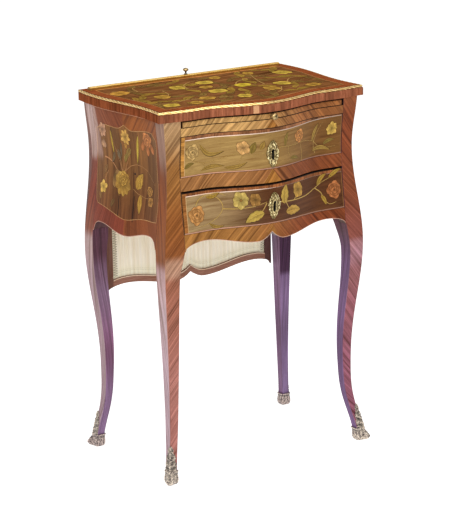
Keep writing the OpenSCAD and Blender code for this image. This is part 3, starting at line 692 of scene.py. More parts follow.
# back edge and underside
top.grid(lambda s, t: (mix(TOP_XB, -TOP_XB, s), TOP_YB, mix(TOP_LOW, TOP, t)), 40, 2,
         grain(455, 20, 90), 0, TOP_EDGE)
under = outline(0.9)
for i in range(len(under) // 2):
    p, q = under[i], under[i + 1]
    if math.dist(p, q) > 1e-6:
        for part in outside_rect([p, under[-1 - i], under[-2 - i], q], *SLOT):
            top.polygon([(x, y, TOP_LOW) for x, y in part], [turned(x, y, 0) for x, y in part], 3)
top.make("table_top", [TOP_BAND, LINE_WOOD, GROUND_TOP, OAK_X], "carcass", ["top_panel"], "top_marquetry")

# twisted moulding round the front and the sides
rope = Build()
ROPE_R, ROPE_PITCH, ROPE_Z = 2.5, 34.5, 697.5
path = outline(ROPE_R, 520, 280)
lengths = run_lengths(path)
around = 14
points, uvs, tints = [], [], []
for i, p in enumerate(path):
    a, b = path[max(0, i - 1)], path[min(len(path) - 1, i + 1)]
    d = math.dist(a, b) or 1
    nx, ny = (b[1] - a[1]) / d, -(b[0] - a[0]) / d
    for k in range(around):
        angle = 2 * math.pi * k / around
        lobe = abs(math.cos(1.5 * (angle + lengths[i] * 2 * math.pi / ROPE_PITCH)))
        r = ROPE_R * (0.76 + 0.24 * lobe**0.6)
        points.append((p[0] + nx * r * math.cos(angle), min(TOP_YB, p[1] + ny * r * math.cos(angle)),
                       ROPE_Z + r * math.sin(angle)))
        uvs.append((lengths[i] / 10, k / 4))
        # painted shade in the grooves between the strands and painted highlight on their crests
        g = 0.42 + 0.66 * lobe**1.2
        # painted highlight: brighter on the left half of the front, where the light falls
        g *= 1 + 1.1 * ease((10 - p[0]) / 70) * ease((-p[1] - 126) / 12)
        tints.append((g, g * (0.82 + 0.2 * lobe), g * (0.55 + 0.6 * lobe)))
faces = [[i * around + k, (i + 1) * around + k, (i + 1) * around + (k + 1) % around,
          i * around + (k + 1) % around] for i in range(len(path) - 1) for k in range(around)]
rope.add(points, [f[::-1] for f in faces], uvs, 0, tints)
rope.make("rope_moulding", [ROPE], "carcass", ["top_moulding"], "gilt_bronze")

# Legs and posts


def leg_side(z):
    return mix(15.5, 31.6, max(0.0, (z - 50) / 350) ** 1.3)


def bracket(z):
    return max(0.0, min(1.0, (z - FADE_Z) / (BRACKET_Z - FADE_Z))) ** 2


def inner_x(z, rear):
    low = min(z, 420)
    return mix(corner_x(low, rear) - leg_side(low), BACK_X if rear else POST_X, bracket(z))


def inner_y(z, rear):
    low = min(z, 420)
    return mix(corner_y(low, rear) - leg_side(low), POST_YB if rear else POST_YF, bracket(z))


def by_height(*stops):
    """Tint by height, from stops of z and an ordinary colour, with soft steps between them."""
    stops = [(z, lin(*colour)) for z, colour in stops]

    def tint(z):
        for (z0, c0), (z1, c1) in zip(stops, stops[1:]):
            if z <= z1:
                return blend3(c0, c1, ease((z - z0) / (z1 - z0)))
        return stops[-1][1]

    return tint


def leg(name, sx, rear, front_light_and_tone, side_tint, deep_tint, wide_tint):
    """A leg and its post in one piece: four veneered faces with softened edges."""
    b = Build()
    sy = 1 if rear else -1
    flip = (sx > 0) == (sy > 0)
    foot_z, rows, r = 8.0, 132, 0.9

    def face(point, uv, n, slot, tint, turn_over):
        """Grid up the leg; point, uv and tint take the height instead of t."""
        b.grid(lambda s, t: point(s, mix(foot_z, TOP_LOW, t)), n, rows,
               lambda s, t: uv(s, mix(foot_z, TOP_LOW, t)), slot,
               lambda s, t: tint(mix(foot_z, TOP_LOW, t)), turn_over)

    def out_y(x, z):
        return mix(corner_y(z, True), KNEE_YB, fade(z)) if rear else front_out(x, z)

    def front(s, z):
        x = mix(inner_x(z, rear) + r * 0.6, corner_x(z, rear) - r, s)
        return sx * x, sy * out_y(x, z), z

    def side(s, z):
        y = mix(inner_y(z, rear) + r * 0.6, corner_y(z, rear) - r, s)
        return sx * side_out(sy * y, z), sy * y, z

    def corner(s, z):
        """Round between the front's and the side's outer edges."""
        a, c = front(1, z), side(1, z)
        k = (a[0] + (c[0] - a[0]) * 0.74, c[1] + (a[1] - c[1]) * 0.74)
        return *((1 - s) ** 2 * a[i] + 2 * s * (1 - s) * k[i] + s * s * c[i] for i in (0, 1)), z

    def deep(s, z):
        x, y = inner_x(z, rear), inner_y(z, rear)
        return sx * x, sy * mix(y + r * 0.6, out_y(x, z) - r * 0.5, s), z

    def wide(s, z):
        x, y = inner_x(z, rear), inner_y(z, rear)
        return sx * mix(x + r * 0.6, side_out(sy * y, z) - r * 0.5, s), sy * y, z

    face(front, lambda s, z: turned((s - 1) * (corner_x(z, rear) - inner_x(z, rear)) * sx, z, 48 * -sx), 5, 0,
         front_light_and_tone, flip)
    face(side, lambda s, z: turned((1 - s) * (corner_y(z, rear) - inner_y(z, rear)), z, 80), 5, 1, side_tint,
         not flip)
    face(corner, lambda s, z: turned(s, z, 90), 3, 3, front_light_and_tone, flip)
    face(deep, lambda s, z: turned(s * 30, z, 86), 3, 2, deep_tint, not flip)
    face(wide, lambda s, z: turned(s * 30, z, 86), 3, 2, wide_tint, flip)
    # small rounds that join the faces, each between the edges of two of them, a little lighter as a painted
    # highlight
    for first, e0, last, e1 in ((deep, 1, front, 0), (side, 0, wide, 1), (wide, 0, deep, 0)):
        face(lambda s, z: tuple(mix(p, q, s) for p, q in zip(first(e0, z), last(e1, z))),
             lambda s, z: turned(s, z, 90), 1, 2, lambda z: shade(wide_tint(z), 1.1), flip)
    b.make(name, [FRONT_WOOD, SIDE_WOOD, INNER_WOOD, SIDE_WOOD], "carcass",
           [name.replace("post_and_leg", "leg")], "leg_veneer")


# tones down each face, corrected by mean tones of the photograph, with its pale sheen painted in as highlight
# and the inner faces darkening upwards into the case as painted shade
front_left = by_height((0, (174, 114, 106)), (180, (171, 113, 102)), (335, (158, 99, 80)),
                       (385, (158, 99, 76)), (400, (183, 139, 115)), (420, (183, 139, 113)),
                       (436, (148, 87, 45)), (488, (139, 83, 40)), (587, (155, 104, 52)),
                       (655, (177, 138, 95)), (700, (184, 148, 111)))
side_left = by_height((0, (183, 156, 166)), (200, (184, 157, 166)), (315, (190, 164, 170)),
                      (400, (184, 150, 150)), (425, (135, 74, 31)), (570, (129, 66, 22)),
                      (612, (144, 106, 87)), (700, (148, 114, 96)))
front_right = by_height((0, (148, 92, 108)), (145, (146, 88, 104)), (270, (140, 84, 92)),
                        (340, (150, 96, 98)), (377, (168, 120, 129)), (397, (166, 116, 120)),
                        (412, (141, 78, 66)), (508, (131, 70, 43)), (628, (130, 64, 33)),
                        (700, (143, 83, 48)))
side_plain = by_height((0, (142, 114, 134)), (380, (146, 112, 116)), (440, (136, 78, 42)),
                       (700, (138, 80, 46)))
inner_deep = by_height((0, (112, 84, 124)), (345, (108, 81, 117)), (440, (84, 52, 62)), (700, (60, 38, 38)))
inner_back = by_height((0, (120, 88, 122)), (230, (122, 90, 122)), (330, (140, 112, 140)),
                       (440, (70, 42, 50)), (700, (60, 38, 38)))
inner_wide = by_height((0, (134, 106, 142)), (90, (133, 104, 137)), (200, (126, 85, 113)),
                       (310, (127, 100, 124)), (350, (112, 84, 104)), (393, (87, 54, 67)),
                       (700, (60, 38, 38)))
inner_dark = by_height((0, (128, 104, 142)), (243, (129, 103, 140)), (275, (124, 98, 134)),
                       (288, (72, 44, 70)), (700, (60, 38, 48)))
back_left = by_height((0, (162, 136, 144)), (330, (162, 136, 142)), (415, (172, 144, 142)),
                      (440, (132, 70, 46)), (517, (125, 55, 33)), (566, (126, 60, 38)),
                      (584, (174, 142, 132)), (700, (184, 155, 149)))
back_plain = by_height((0, (120, 96, 124)), (380, (110, 84, 104)), (440, (100, 62, 56)), (700, (110, 70, 56)))
leg("post_and_leg_front_left", -1, False, front_left, side_left, inner_deep, inner_wide)
leg("post_and_leg_front_right", 1, False, front_right, side_plain, inner_deep, inner_wide)
leg("post_and_leg_back_left", -1, True, back_plain, back_left, inner_deep, inner_wide)
leg("post_and_leg_back_right", 1, True, back_plain, side_plain, inner_back, inner_dark)

# Shoes


def bump_at(value, at, spread):
    return math.exp(-(((value - at) / spread) ** 2))


# shares of height, then of the cup's wall and toe, and of the leaf's width and thickness
CUP = [(0, 0.35, 0.4), (0.1, 0.85, 0.78), (0.24, 1.1, 1), (0.4, 1.12, 0.86), (0.56, 0.98, 0.6),
       (0.7, 0.78, 0.4), (0.82, 0.72, 0.26), (0.92, 0.9, 0.12), (1, 1.02, 0)]
LEAF = [(0, 0.9, 0.85), (0.1, 0.93, 1), (0.2, 0.86, 0.8), (0.32, 0.9, 0.95), (0.42, 0.68, 0.7),
        (0.53, 0.76, 0.92), (0.64, 0.6, 0.85), (0.75, 0.38, 0.65), (0.84, 0.4, 0.85), (0.93, 0.24, 0.8),
        (1, 0.08, 0.9)]


def level(table, t):
    """Values of a table at a share of its height."""
    for (t0, *a), (t1, *c) in zip(table, table[1:]):
        if t <= t1:
            return [mix(p, q, ease((t - t0) / (t1 - t0))) for p, q in zip(a, c)]
    return table[-1][1:]


CUP_HIGH, LEAF_LOW, LEAF_HIGH = 24, 21.0, 70.0


def shoe(name, sx, rear):
    """Cast shoe: a scrolled toe, a cup with a flared lip, and a leaf up the corner."""
    b = Build()
    sy = 1 if rear else -1
    flip = (sx > 0) != (sy > 0)
    n_around, n_up = 80, 44

    def cup(s, t):
        z = CUP_HIGH * t
        half = leg_side(z) / 2
        wall, toe = level(CUP, t)
        a = 2 * math.pi * s
        front = max(0.0, math.cos(a - math.pi / 4)) ** 7
        flutes = 0.34 * math.cos(11 * a) * bump_at(t, 0.5, 0.24) * (1 - front)
        scroll = 0.5 * front * math.cos(22 * t - 1.0) * bump_at(t, 0.45, 0.3)
        if t > 0.75:
            wall *= 1 - 0.35 * max(0.0, math.cos(a - math.pi / 4)) ** 2
        r = (half + 3 * wall + min(0.0, flutes)) / (abs(math.cos(a)) ** 5 + abs(math.sin(a)) ** 5) ** 0.2
        r += 9 * toe * front + min(0.0, scroll)
        x, y = corner_x(z, rear) - half + r * math.cos(a), corner_y(z, rear) - half + r * math.sin(a)
        return sx * x, sy * y, z

    def cup_tint(s, t):
        a = 2 * math.pi * s
        inner = 1 - max(0.0, math.cos(a - math.pi / 4))
        # painted highlight on the flutes' crests, the lip and the toe, painted shade between the flutes,
        # under the lip and at the base; the rear shoes are darker and purpler
        g = 0.74 + 0.34 * math.cos(11 * a) * bump_at(t, 0.5, 0.3) - 0.5 * bump_at(t, 0.82, 0.08) * inner
        g += 0.3 * bump_at(t, 0.98, 0.05) * inner - 0.3 * bump_at(t, 0.3, 0.05) * (1 - inner)
        g += 0.25 * max(0.0, math.cos(a - math.pi / 4)) ** 4 * bump_at(t, 0.3, 0.3)
        g -= 0.25 * bump_at(t, 0.0, 0.06)
        g = max(0.16, min(1.25, g))
        if rear:
            return (g * 0.84, g * 0.75, g * 0.76)
        return (g, g * 0.95, g * 0.88)

    b.grid(cup, n_around, n_up, grain(60, 20), 0, cup_tint, flip, loop=True)
    # lip turned in to the leg, and the underside, both darkened as painted shade
    half = leg_side(CUP_HIGH) / 2
    middle = (sx * (corner_x(CUP_HIGH, rear) - half), sy * (corner_y(CUP_HIGH, rear) - half), CUP_HIGH + 1.2)
    sole = (sx * (corner_x(0, rear) - 6), sy * (corner_y(0, rear) - 6), 0.0)
    b.grid(lambda s, t: tuple(mix(p, q, t) for p, q in zip(cup(s, 1.0), middle)), n_around, 3,
           grain(60, 10), 0, (0.4, 0.34, 0.34), flip, loop=True)
    b.grid(lambda s, t: tuple(mix(p, q, t) for p, q in zip(sole, cup(s, 0.0))), n_around, 2,
           grain(60, 10), 0, (0.5, 0.5, 0.5), flip, loop=True)

    # leaf wrapped on the corner: s from one edge to the other, t up
    def relief(k, t):
        lobe = math.cos(2 * math.pi * (4.6 * t - 0.8 * abs(k)))
        rib = 0.85 * bump_at(k, 0, 0.12)
        veins = 0.5 * lobe * (1 - 0.5 * abs(k))
        curl = 0.4 * bump_at(abs(k), 0.84, 0.13)
        return 0.12 + rib + veins + curl

    def leaf(s, t):
        z = mix(LEAF_LOW, LEAF_HIGH, t)
        k = 2 * s - 1
        wide, thick = level(LEAF, t)
        frill = 1 + 0.07 * math.cos(2 * math.pi * 11 * t)
        w = min(0.97, wide * frill) * leg_side(z)
        h = max(0.35, min(1.0, 0.5 + 0.5 * relief(k, t))) * 3 * thick
        if abs(k) > 0.99:
            h = 0.0
        d = abs(k) * w
        x, y = corner_x(z, rear), corner_y(z, rear)
        near = bump_at(d, 0, 2.2) * 0.9
        px, py = (x + h, y - d + h * near) if k > 0 else (x - d + h * near, y + h)
        return sx * px, sy * py, z

    def leaf_tint(s, t):
        k = 2 * s - 1
        # painted highlight on the rib, veins and curled edges, painted shade between them, and dark bands of
        # painted shade across the leaf
        g = 0.42 + 0.62 * max(0.0, min(1.2, relief(k, t)))
        g *= 1 - 0.5 * bump_at(t, 0.42, 0.03) - 0.5 * bump_at(t, 0.2, 0.03) - 0.4 * bump_at(t, 0.66, 0.03)
        g = max(0.14, min(1.25, g))
        return (g, g * 0.94, g * 0.86)

    b.grid(leaf, 48, 90, grain(30, 50), 0, leaf_tint, not flip)
    return b.make(name, [SHOE], "carcass", [name.replace("shoe", "sabot")], "gilt_bronze")


for side_name, sx in (("left", -1), ("right", 1)):
    for end_name, rear in (("front", False), ("back", True)):
        shoe(f"shoe_{end_name}_{side_name}", sx, rear)

# Front rails, apron, drawers, slide


def front_skin(b, x0, x1, low, high, nu, nv, angle, slot, h=0.0, tint=None, skip=None):
    """Grid on the serpentine front; low, high, x0 and x1 may be functions."""

    def at(s, t):
        xa = x0(t) if callable(x0) else x0
        xb = x1(t) if callable(x1) else x1
        x = mix(xa, xb, s)
        zl = low(x) if callable(low) else low
        zh = high(x) if callable(high) else high
        return x, mix(zl, zh, t)

    def point(s, t):
        x, z = at(s, t)
        return x, -(front_out(x, z) + h), z

    b.grid(point, nu, nv, lambda s, t: turned(*at(s, t), angle), slot,
           (lambda s, t: tint(*at(s, t))) if tint else None, False, skip)


# back faces of the rails, the apron, the drawer fronts and the slide's lipping, and a drawer front's gap
RAIL_BACK, APRON_BACK, DRAWER_BACK, SLIDE_BACK, FRONT_GAP = -96.3, -122.5, -113.3, -121.5, 0.6


# the default near-black tint is painted shade, for faces in the dark gaps between the front pieces
def block_faces(b, half, low, high, inner, slot, nu=60, tint=lin(20, 12, 8), inside=None):
    """Top, bottom, back and ends of a front piece."""
    lo = low if callable(low) else (lambda x: low)
    hi = high if callable(high) else (lambda x: high)

    def xat(s):
        return mix(-half, half, s)

    b.grid(lambda s, t: (xat(s), mix(-front_out(xat(s), hi(xat(s))), inner, t), hi(xat(s))), nu, 1,
           lambda s, t: turned(xat(s), t * 20, 0), slot, tint)
    b.grid(lambda s, t: (xat(s), mix(-front_out(xat(s), lo(xat(s))), inner, t), lo(xat(s))), nu, 1,
           lambda s, t: turned(xat(s), t * 20, 0), slot, tint, True)
    b.grid(lambda s, t: (xat(s), inner, mix(lo(xat(s)), hi(xat(s)), t)), nu, 1,
           lambda s, t: turned(xat(s), t * 20, 0), slot, inside or tint, True)
    for x, turn_over in ((-half, True), (half, False)):

        def end_face(s, t):
            z = mix(lo(x), hi(x), t)
            return x, mix(-front_out(x, z), inner, s), z

        b.grid(end_face, 1, 6, grain(20, 60), slot, inside or tint, turn_over)


def front_light_and_tone(x, z):
    """Painted light on the front: the left half lighter and more golden, as lit and with the tulipwood's
    sheen, the right half redder and darker.
    """
    k = ease((x + 80) / 170)
    fleck = 1 + 0.05 * math.sin(x * 0.21) + 0.04 * math.sin(x * 0.083 + 2)
    if z > 600:
        a, c = lin(183, 141, 86), lin(147, 91, 48)
    elif z > 500:
        a, c = lin(156, 106, 60), lin(130, 69, 36)
    else:
        a, c = lin(162, 110, 55), lin(127, 64, 34)
    return tuple(v * fleck for v in blend3(a, c, k))


# how far a chevron's seam leans over per millimetre of height
SEAM_LEAN = 0.8


def chevron(b, low, high, nv):
    """Left and right veneers that lean against each other, and the centre piece under their seam."""
    z_top = high(0) if callable(high) else high
    z_low = low(0) if callable(low) else low

    def seam(t):
        return (1 - t) * (z_top - z_low) * SEAM_LEAN + 0.05

    front_skin(b, -POST_X, lambda t: -seam(t), low, high, 44, nv, 48, 0, tint=front_light_and_tone)
    front_skin(b, seam, POST_X, low, high, 44, nv, -48, 0, tint=front_light_and_tone)
    front_skin(b, lambda t: -seam(t), seam, low, high, 6, nv, 52, 0, tint=lambda x, z: lin(158, 104, 46))
    for sign, tone in ((-1, lin(214, 158, 84)), (1, lin(110, 60, 36))):

        def seam_line(s, t):
            x, z = sign * seam(t), mix(z_low, z_top, t)
            return x + (s - 0.5) * 0.5, -(front_out(x, z) + 0.05), z

        b.grid(seam_line, 1, nv, lambda s, t: turned(s, t * 20, 90), 1, tone)


for name, low, high, nv in (("slide_rail", UP_TOP, RAIL_TOP, 4), ("drawer_rail", LO_TOP, UP_LOW, 6)):
    b = Build()
    chevron(b, low, high, nv)
    block_faces(b, POST_X, low, high, RAIL_BACK, 2)
    b.make(name + "_veneered", [FRONT_WOOD, LINE_WOOD, INNER_WOOD], "carcass", [name], "rail_veneer")

b = Build()
chevron(b, apron_edge, LO_LOW, 12)
block_faces(b, POST_X, apron_edge, LO_LOW, APRON_BACK, 2, 120, lin(70, 42, 30))


def apron_edge_highlight(s, t):
    """Painted highlight along the shaped edge, lighter on the left."""
    x = mix(0.4 - POST_X, POST_X - 0.4, s)
    return x, -(front_out(x, apron_edge(x)) + 0.06), apron_edge(x) + t


b.grid(apron_edge_highlight, 160, 1, grain(360, 1), 1, lambda s, t: blend3(lin(236, 196, 170), lin(206, 160, 140), s))
b.make("front_apron_veneered", [FRONT_WOOD, LINE_WOOD, INNER_WOOD], "carcass", ["front_apron"], "rail_veneer")


def behind_plate(x, z, mid):
    """Part of a drawer front that is left open for the keyhole, hidden by its plate."""
    return abs(x) < 3.6 and mid - 11.5 < z < mid + 9.5


def drawer_front(name, low, high, body, mid, ground_tint, band_tint, top_tint, tapered):
    """Shaped drawer front: crossbanded at the left and above, a pale line, and a ground for the flowers."""
    b = Build()
    half = POST_X - FRONT_GAP
    low += FRONT_GAP
    left, upper, right, lower = 8.5, 7.5, 2.4, 2.2
    zf0, zf1 = low + lower, high - upper
    xf0, xf1 = -half + left, half - right
    cols, rows = 88, 20
    top_shadow_line = 0.7 if tapered else 1.7

    def line_z(x):
        return mix(zf1, high - 2.6, ease((x - 30) / 150)) if tapered else zf1

    def line_half(x):
        return 0.7 if tapered else mix(0.7, 0.12, ease((x + 40) / 60))

    # ground of the flowers
    def ground_at(s, t):
        x = mix(xf0, xf1, s)
        return x, mix(zf0, line_z(x), t)

    front_skin(b, xf0, xf1, zf0, line_z, cols, rows, 3, 0, tint=ground_tint,
               skip=lambda s, t: behind_plate(*ground_at(s, t), mid))
    front_skin(b, -half, xf0, low, high, 3, 16, 2, 1, tint=band_tint)
    front_skin(b, xf1, half, low, high, 1, 16, 90, 1, tint=lambda x, z: lin(130, 80, 48))
    front_skin(b, xf0, xf1, line_z, high, cols, 3, 90, 1, tint=top_tint)
    front_skin(b, xf0, xf1, low, zf0, cols, 1, 0, 1, tint=lambda x, z: lin(150, 100, 70))
    # pale lines round the ground, stringing with a painted highlight on it, and a painted highlight along the
    # lower edge; dark painted shadow lines at the ends and on top, in the gaps; all fade to half towards the
    # right as painted light
    for x0, x1, z0, z1, tone in ((xf0 - 0.3, xf0 + 0.7, zf0, zf1, lin(214, 172, 120)),
                                 (xf0, xf1, lambda x: line_z(x) - line_half(x),
                                  lambda x: line_z(x) + line_half(x), lin(255, 226, 206)),
                                 (xf1 - 0.7, xf1 + 0.2, zf0, zf1, lin(180, 130, 80)),
                                 (-half + 0.2, half - 0.2, low + 0.2, low + 1.6, lin(212, 162, 138)),
                                 (-half, -half + 1.1, low, high, lin(30, 16, 9)),
                                 (half - 0.8, half, low, high, lin(52, 26, 14)),
                                 (-half, half, lambda x: high - top_shadow_line, lambda x: high, lin(26, 14, 8))):
        wide = x1 - x0 > 5
        front_skin(b, x0, x1, z0, z1, cols if wide else 1, 1 if wide else 16, 0 if wide else 90, 2, 0.07,
                   tint=lambda x, z: tuple(c * mix(1.0, 0.5, ease((x + 100) / 200)) for c in tone))
    block_faces(b, half, low, high, DRAWER_BACK, 1, 88, lin(52, 33, 21), lin(150, 112, 72))
    b.make(name + "_veneered", [GROUND_FRONT, BAND_WOOD, LINE_WOOD], body, [name], "drawer_marquetry")
    # dark throat of the keyhole: a near-black tube of painted shade behind it
    throat = Build()
    ring = [(1.6, -10.0)] + [(2.5 * math.cos(a), 6 + 2.5 * math.sin(a)) for a in
                             (math.radians(d) for d in range(-50, 231, 20))] + [(-1.6, -10.0)]
    depth0, depth1 = -(front_out(0, mid) + 1.6), -(front_out(0, mid) - 9)
    pts = [(x, depth0, mid + z) for x, z in ring] + [(x, depth1, mid + z) for x, z in ring]
    total = len(ring)
    throat.add(pts, [[i, (i + 1) % total, total + (i + 1) % total, total + i][::-1]
                     for i in range(total)] + [[total + i for i in range(total)]], [(0, 0)] * len(pts))
    throat.make(name + "_keyhole", [KEYHOLE_SHADE], body, slot="lock_steel")


def painted_sheen_blend(left_colour, right_colour, split, soft):
    """Tint that goes over from one colour to the other round x = split; on the drawer grounds its lighter
    left side is a painted sheen.
    """
    return lambda x, z: blend3(left_colour, right_colour, ease((x - split + soft / 2) / soft))


# shades of the short veneers in the bands round the drawers
segments = [0.7 + 0.6 * rng.random() for _ in range(60)]


def banding(colour, length, start=None):
    """Tint of short veneers one after another: up the front, or along it where a start is given."""
    return lambda x, z: shade(colour, segments[int((z if start is None else x + start) / length) % 60])


def top_band_worn(x, z):
    """The upper drawer's top band, dark where it is worn beside the middle and at the right."""
    worn = abs(x - 8) < 16 or abs(x - 112) < 10
    return shade(banding(lin(142, 92, 58), 9, 200)(x, z), 0.5 if worn else 1.0)


# heights of the keyhole plates' middles
MID_UP, MID_LO = 601.4, 505.15
drawer_front("upper_drawer_front", UP_LOW, UP_FACE, "upper_drawer", MID_UP,
             painted_sheen_blend(lin(165, 132, 77), lin(119, 80, 37), 30, 200), banding(lin(190, 134, 62), 5.5),
             top_band_worn, True)
drawer_front("lower_drawer_front", LO_LOW, LO_FACE, "lower_drawer", MID_LO,
             painted_sheen_blend(lin(161, 132, 90), lin(91, 54, 29), -72, 130),
             banding(lin(150, 96, 48), 4.1), banding(lin(140, 84, 46), 7, 204), False)

# front lipping of the writing slide
slide_half = POST_X - 4
slide_mid = (SLIDE_LOW + SLIDE_TOP) / 2


def slide_y(x):
    return -front_out(x, slide_mid) + 1


def slide_at(s, h=0.0):
    x = mix(-slide_half, slide_half, s)
    return x, slide_y(x) + h


b = Build()
for x0, x1, angle in ((-slide_half, 0, 55), (0, slide_half, -50)):
    b.grid(lambda s, t: (mix(x0, x1, s), slide_y(mix(x0, x1, s)) + 0.5 * (2 * t - 1) ** 8,
                         mix(SLIDE_LOW, SLIDE_TOP, t)), 44, 6,
           lambda s, t: turned(mix(x0, x1, s), t * 11, angle), 0,
           lambda s, t: front_light_and_tone(mix(x0, x1, s) - 10, 670))
# dark strips of painted shadow along the top and bottom of the lipping's face
for z0, z1 in ((SLIDE_LOW, SLIDE_LOW + 0.9), (SLIDE_TOP - 0.7, SLIDE_TOP)):
    b.grid(lambda s, t: (*slide_at(s, -0.04), mix(z0, z1, t)), 88, 1, grain(350, 1), 0, lin(42, 24, 14))
for z, rows, tone, turn_over in ((SLIDE_TOP, 2, lin(110, 68, 44), False),
                                 (SLIDE_LOW, 1, lin(80, 50, 34), True)):
    b.grid(lambda s, t: (slide_at(s)[0], mix(slide_at(s, 0.5)[1], SLIDE_BACK, t), z), 88, rows,
           grain(350, 12), 0, tone, turn_over)
b.grid(lambda s, t: (slide_at(s)[0], SLIDE_BACK, mix(SLIDE_LOW, SLIDE_TOP, t)), 44, 1, grain(350, 12), 0,
       lin(80, 50, 34), True)
for x, turn_over in ((-slide_half, True), (slide_half, False)):
    b.grid(lambda s, t: (x, mix(slide_y(x), SLIDE_BACK, s), mix(SLIDE_LOW, SLIDE_TOP, t)), 2, 1,
           grain(12, 11), 0, lin(96, 60, 38), turn_over)
b.make("slide_lipping_veneered", [FRONT_WOOD], "writing_slide", ["slide_lipping"], "slide_wood")

# Marquetry

GOLD_LEAF = lin(176, 140, 54)
OLIVE_LEAF = lin(142, 118, 50)
GREEN_LEAF = lin(168, 134, 60)
YELLOW = lin(200, 164, 74)
PALE = lin(192, 158, 92)
ORANGE = lin(190, 130, 66)
DARK = lin(52, 32, 18)
STEM = lin(188, 156, 82)


def halfway(path, other):
    return [(mix(p[0], q[0], 0.5), mix(p[1], q[1], 0.5)) for p, q in zip(path, other)]


class Marquetry:
    """Thin cut woods laid on a curved panel, coloured by the tint."""

    def __init__(self, place, build, slot=2, flip=False, dark=DARK, wash=(1, 1, 1), step=0.0043):
        self.place, self.b, self.slot, self.flip, self.dark, self.wash = place, build, slot, flip, dark, wash
        self.rise, self.step = 0.0, step

    def strips(self, rails, tones, h, slot=None):
        """Quads between neighbouring rails of (u, v) points; one tone list per rail."""
        total = len(rails[0])
        pts = [self.place(u, v, h) for rail in rails for u, v in rail]
        uvs = [(i / 3.0, r / 2.0) for r in range(len(rails)) for i in range(total)]
        tint = [c for tone in tones for c in (tone if isinstance(tone, list) else [tone] * total)]
        faces = quads(len(rails), total)
        # one way round for all, judged in the flat
        u0, v0 = rails[0][total // 2]
        u1, v1 = rails[0][min(total - 1, total // 2 + 1)]
        u2, v2 = rails[1][total // 2]
        spin = (u1 - u0) * (v2 - v0) - (v1 - v0) * (u2 - u0)
        if (spin < 0) != self.flip:
            faces = [f[::-1] for f in faces]
        tint = [tuple(a * k for a, k in zip(c, self.wash)) for c in tint]
        self.b.add(pts, faces, uvs, self.slot if slot is None else slot, tint)

    def ribbon(self, path, width, h, colour, slot=None, closed=False, taper=False, smooth=0):
        """Line of one width along a path, or one that thins out."""
        if smooth:
            path = smooth_path(path, smooth)
        left, right = [], []
        total = len(path)
        for i, p in enumerate(path):
            a = path[(i - 1) % total] if closed else path[max(0, i - 1)]
            c = path[(i + 1) % total] if closed else path[min(total - 1, i + 1)]
            if closed and i in (0, total - 1):
                a, c = path[-2], path[1]
            d = math.dist(a, c) or 1
            w = width / 2 * ((1 - 0.75 * i / total) if taper else 1)
            nx, ny = -(c[1] - a[1]) / d * w, (c[0] - a[0]) / d * w
            left.append((p[0] + nx, p[1] + ny))
            right.append((p[0] - nx, p[1] - ny))
        self.strips([left, right], [colour, colour], h, slot)

    def blade(self, u, v, angle, length, width, bend, shape, total=14):
        """Mid-rib and the two edges of a leaf or petal."""
        a = math.radians(angle)
        rib, left, right = [], [], []
        for i in range(total + 1):
            t = i / total
            x, y = t * length, bend * length * math.sin(math.pi * t) * 0.5
            w = width / 2 * shape(t)
            slope = math.atan2(bend * math.pi * 0.5 * math.cos(math.pi * t), 1)
            nx, ny = -math.sin(slope), math.cos(slope)
            for points, k in ((rib, 0), (left, w), (right, -w)):
                px, py = x + nx * k, y + ny * k
                points.append((u + px * math.cos(a) - py * math.sin(a),
                               v + px * math.sin(a) + py * math.cos(a)))
        return rib, left, right

    def under(self, blade, h):
        """Dark saw line round a leaf or petal."""
        rib, left, right = blade
        self.strips([left, halfway(rib, left), rib, halfway(rib, right), right], [self.dark] * 5, h)

    def leaf(self, u, v, angle, length, width, colour, bend, teeth=0):
        def shape(t):
            swell = math.sin(math.pi * t**0.82) ** 0.85
            return swell * (1 + (0.16 * abs(math.sin(math.pi * teeth * t)) - 0.08 if teeth else 0))

        # every leaf lies a hair above the one before, so that no two share a plane
        self.rise += self.step
        h = 0.2 + self.rise
        self.under(self.blade(u, v, angle, length * 1.03, width + 0.9, bend, shape), h - 0.07)
        rib, left, right = self.blade(u, v, angle, length, width, bend, shape, 16)
        total = len(rib)
        by_rib = [shade(colour, 0.62 + 0.25 * i / total) for i in range(total)]
        self.strips([rib, halfway(rib, left), left], [by_rib, shade(colour, 0.95), shade(colour, 1.12)], h)
        self.strips([rib, halfway(rib, right), right], [shade(colour, k) for k in (1.18, 1.0, 0.8)], h)
        self.ribbon(rib, 0.45, h + 0.04, shade(DARK, 1.3), taper=True)
        for k in range(3, total - 3, 3):
            for edge in (left, right):
                tip = edge[min(total - 1, k + 2)]
                self.ribbon([rib[k], (mix(rib[k][0], tip[0], 0.8), mix(rib[k][1], tip[1], 0.8))], 0.28,
                            h + 0.04, shade(colour, 0.5))

    def petal(self, u, v, angle, length, width, colour, h, bend=0.0, dark=0.5):
        def shape(t):
            return math.sin(math.pi * t**1.35) ** 0.75 if t < 1 else 0.0

        self.under(self.blade(u, v, angle, length + 0.5, width + 0.9, bend, shape), h - 0.05)
        rib, left, right = self.blade(u, v, angle, length, width, bend, shape, 12)
        total = len(rib)
        fading = [min(1.15, dark + (1.15 - dark) * (i / (total * 0.6))) for i in range(total)]
        self.strips([left, halfway(rib, left), rib, halfway(rib, right), right],
                    [[shade(colour, f * k) for f in fading] for k in (1.1, 1.06, 0.92, 0.98, 0.8)], h)
        self.ribbon([rib[1], rib[total // 2]], 0.3, h + 0.02, shade(colour, 0.45))

    def disc(self, u, v, r, colour, h):
        ring = [(u + r * math.cos(2 * math.pi * k / 12), v + r * math.sin(2 * math.pi * k / 12))
                for k in range(13)]
        self.strips([[(u, v)] * 13, ring], [shade(colour, 1.1), shade(colour, 0.7)], h)

